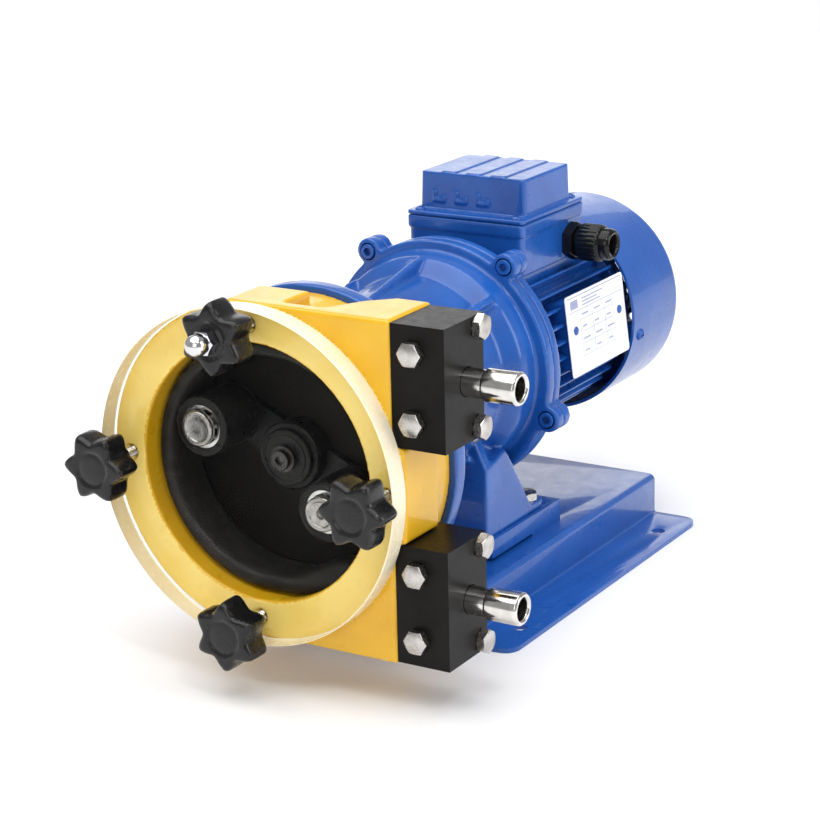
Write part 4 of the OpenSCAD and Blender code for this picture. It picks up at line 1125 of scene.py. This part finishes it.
def hub_screw():
    """Thick washer and socket screw that hold the rotor on its shaft."""
    low, high = span("hub_screw")
    face = puck(8, SCREW_SEAT_Y, HUB_Y - 0.1, 0.4)
    screw = cap_screw(6, 6, SCREW_SEAT_Y - low.y, high.y - SCREW_SEAT_Y, 5)
    screw = moved(screw, at(0, SCREW_SEAT_Y, 0), BACKWARDS)
    piece("hub_screw", (joined(face, screw), "steel_black"))


def rollers():
    """Smooth rollers with radiused shoulders, counterbored for their bearings."""
    for node, side in (("roller_a", 1), ("roller_b", -1)):
        low, high = span(node)
        bore, seat_r, deep = 9, 13, 11
        profile = [(bore, low.y + deep), (seat_r, low.y + deep), (seat_r, low.y), (ROLLER_R, low.y),
                   (ROLLER_R, high.y), (seat_r, high.y), (seat_r, high.y - deep), (bore, high.y - deep)]
        shape = lathe(softened(profile, [0.3, 0.3, 0.5, 2, 2, 0.5, 0.3, 0.3], 5), close=True, sides=128)
        piece(node, (moved(shape, ROTOR, at(side * ORBIT, 0, 0)), "rotor_black"))


# ---- cover, knobs and nut ----


def front_cover():
    """Clear acrylic disc: polished faces, a finely turned rim, four stud holes."""
    gap, chamfer = 0.05, 0.6
    inset = COVER_R - chamfer
    profile = [(0, -COVER_T), (inset, -COVER_T), (COVER_R, -COVER_T + chamfer), (COVER_R, -chamfer),
               (inset, -gap), (0, -gap)]
    disc = cut(lathe(profile, sides=256), [rod(4.5, -COVER_T - 1, 1, c.x, c.z) for c in STUDS])
    obj = piece("front_cover", (disc, "acrylic_clear"), smooth=30)
    repaint(obj, "acrylic_rim", lambda c: hypot(c.x, c.z) > inset)


def knob_shape(face_y, hub_y):
    """Six-lobed star grip on a round hub, with a shallow dish in its face."""
    depth = hub_y - face_y
    # radius, how far the six hollows reach in, and the height
    levels = [(9, 0, -COVER_T), (9, 0, hub_y + 1), (10, 0, hub_y), (17.5, 3.6, hub_y - 0.3),
              (20.6, 5.2, hub_y - 1.6), (21.3, 5.7, hub_y - 3.6), (21.4, 5.8, hub_y - depth * 0.55),
              (21.1, 5.8, face_y + 3.4), (20.4, 5.6, face_y + 1.6), (18.9, 5.0, face_y + 0.5),
              (16.6, 3.6, face_y + 0.05), (13, 1.0, face_y), (10.6, 0, face_y + 0.15),
              (10.0, 0, face_y + 0.9), (9.2, 0, face_y + 1.0), (8.4, 0, face_y + 0.7),
              (4, 0, face_y + 0.45)]
    rings = [round_row(y, 144, lambda a: radius - scallop * abs(sin(3 * a)) ** 1.5)
             for radius, scallop, y in levels]
    return stacked([[(0, -COVER_T, 0)]] + rings + [[(0, face_y + 0.45, 0)]])


def knobs():
    """One grip on each stud. The top one is bored through for its longer stud."""
    for node, turn in (("knob_right", 0), ("knob_top", 90), ("knob_left", 180), ("knob_bottom", 270)):
        low, high = span(node)
        grip = knob_shape(low.y, high.y - 7)
        if node == "knob_top":
            grip = cut(grip, [rod(M8_BORE_R, low.y - 1, -COVER_T + 1)])
        piece(node, (moved(grip, round_y(turn), at(STUD_CIRCLE, 0, 0)), "plastic_knob"), smooth=50)


def dome_nut():
    """Chromed acorn nut on the top stud."""
    low, high = span("dome_nut")
    r, dome_y = 6.3, high.y - 11
    turns = [t * pi / 24 for t in range(12)]
    dome = [(r * cos(a), dome_y - r * sin(a)) for a in turns]
    neck = [(0, high.y - 6), (r - 0.5, high.y - 6), (r, high.y - 7.5)]
    nut = moved(hex_prism(M8_ACROSS, 0, 7), at(0, high.y, 0), BACKWARDS)
    nut = combined(nut, [lathe(neck + dome + [(0, dome_y - r)])], "UNION")
    nut = cut(nut, [rod(M8_BORE_R, high.y - 9, high.y + 1)])
    piece("dome_nut", (moved(nut, at(0, 0, STUD_CIRCLE)), "chrome"))


# ---- carried-over CAD nodes: machined parts inside the case keep their exact mesh ----

CARRIED = {
    "steel_bearing": ["output_bearings", "intermediate_bearings", "motor_bearings", "roller_bearings_a",
                      "roller_bearings_b"],
    "steel_turned": ["output_shaft", "shaft_key", "output_gear", "intermediate_shaft",
                     "intermediate_gear", "motor_shaft"],
    "steel_laminated": ["rotor_core", "stator_core"],
    "copper_wound": ["stator_windings"],
    "plastic_fan": ["cooling_fan"],
    "plastic_black": ["terminal_block"],
}


def carried_over():
    for finish, nodes in CARRIED.items():
        for node in nodes:
            mesh = frame["nodes"][node].data
            mesh.materials.clear()
            mesh.materials.append(FINISH[finish])


# ---- floor, light and camera ----


def floor():
    half = 6.0
    corners = [(-half, -half, 0), (half, -half, 0), (half, half, 0), (-half, half, 0)]
    mesh = mesh_from(corners, [(0, 1, 2, 3)])
    ground = placed("floor", mesh)
    paper = Finish("floor_paper", (0.86, 0.86, 0.87), Roughness=0.75)
    paper.bump(paper.noise(3, 2), 0.02)
    mesh.materials.append(FINISH["floor_paper"])


def softbox(name, place, size, power):
    """A white box of light, in metres and watts, turned to the middle of the pump."""
    lamp = bpy.data.lights.new(name, "AREA")
    lamp.shape = "RECTANGLE"
    lamp.size, lamp.size_y = size
    lamp.energy = power
    obj = placed(name, lamp)
    obj.location = place
    target = Vector((0, -0.05, 0.12))
    obj.rotation_euler = (target - Vector(place)).to_track_quat("-Z", "Y").to_euler()


def studio():
    """Pale surroundings, a wide soft light overhead, and boxes right, in front and behind."""
    world = bpy.data.worlds.new("studio")
    world.use_nodes = True
    background = world.node_tree.nodes["Background"]
    background.inputs["Color"].default_value = (1.0, 1.0, 1.0, 1)
    background.inputs["Strength"].default_value = 0.38
    bpy.context.scene.world = world
    sky = bpy.data.lights.new("overhead", "SUN")
    sky.energy, sky.angle = 2.6, radians(70)
    overhead = placed("overhead", sky)
    overhead.rotation_euler = (radians(8), radians(-6), 0)
    softbox("box_right", (1.5, 0.2, 0.75), (0.8, 1.2), 10)
    softbox("box_front", (0.55, -1.6, 0.75), (0.9, 0.9), 5)
    softbox("box_small", (0.85, -0.75, 1.35), (0.22, 0.22), 3.5)
    softbox("box_back", (-1.1, 1.8, 0.75), (2.2, 0.9), 8)


CAMERA = {"azimuth": 31.76, "elevation": 17.11, "roll": -1.45, "distance": 1447.6,
          "target": (31.5, 100.0, 10.6), "lens": 106.83, "shift": (0.0196, 0.0071)}


def camera():
    """A long lens from the right front, a little above the head."""
    azimuth, elevation = radians(CAMERA["azimuth"]), radians(CAMERA["elevation"])
    back = Vector((sin(azimuth) * cos(elevation), -cos(azimuth) * cos(elevation),
                   sin(elevation)))
    right = (-back).cross(Vector((0, 0, 1))).normalized()
    turn = Matrix([right, back.cross(right), back]).transposed().to_4x4()
    turn = turn @ Matrix.Rotation(radians(CAMERA["roll"]), 4, "Z")
    data = bpy.data.cameras.new("camera")
    data.lens, data.sensor_width = CAMERA["lens"], 36.0
    data.shift_x, data.shift_y = CAMERA["shift"]
    data.clip_start, data.clip_end = 0.01, 50
    obj = placed("camera", data)
    target = HEAD + Vector(CAMERA["target"]) * MM
    obj.matrix_world = Matrix.Translation(target + back * CAMERA["distance"] * MM) @ turn
    bpy.context.scene.camera = obj


camera()
studio()
floor()
for make in (base_channel, riser_pad, foot_fasteners, gearcase, motor_flange, gearbox_fasteners,
             stator_frame, rear_end_shield, fan_cover, nameplate, terminal_box, terminal_lid,
             cable_gland, pump_housing, hose, shaft_seal, port_blocks, nipples, block_bolts,
             cover_studs, rotor_arm, roller_pins, hub_screw, rollers, front_cover, knobs, dome_nut,
             carried_over):
    make()

bpy.context.scene.view_settings.view_transform = "Standard"
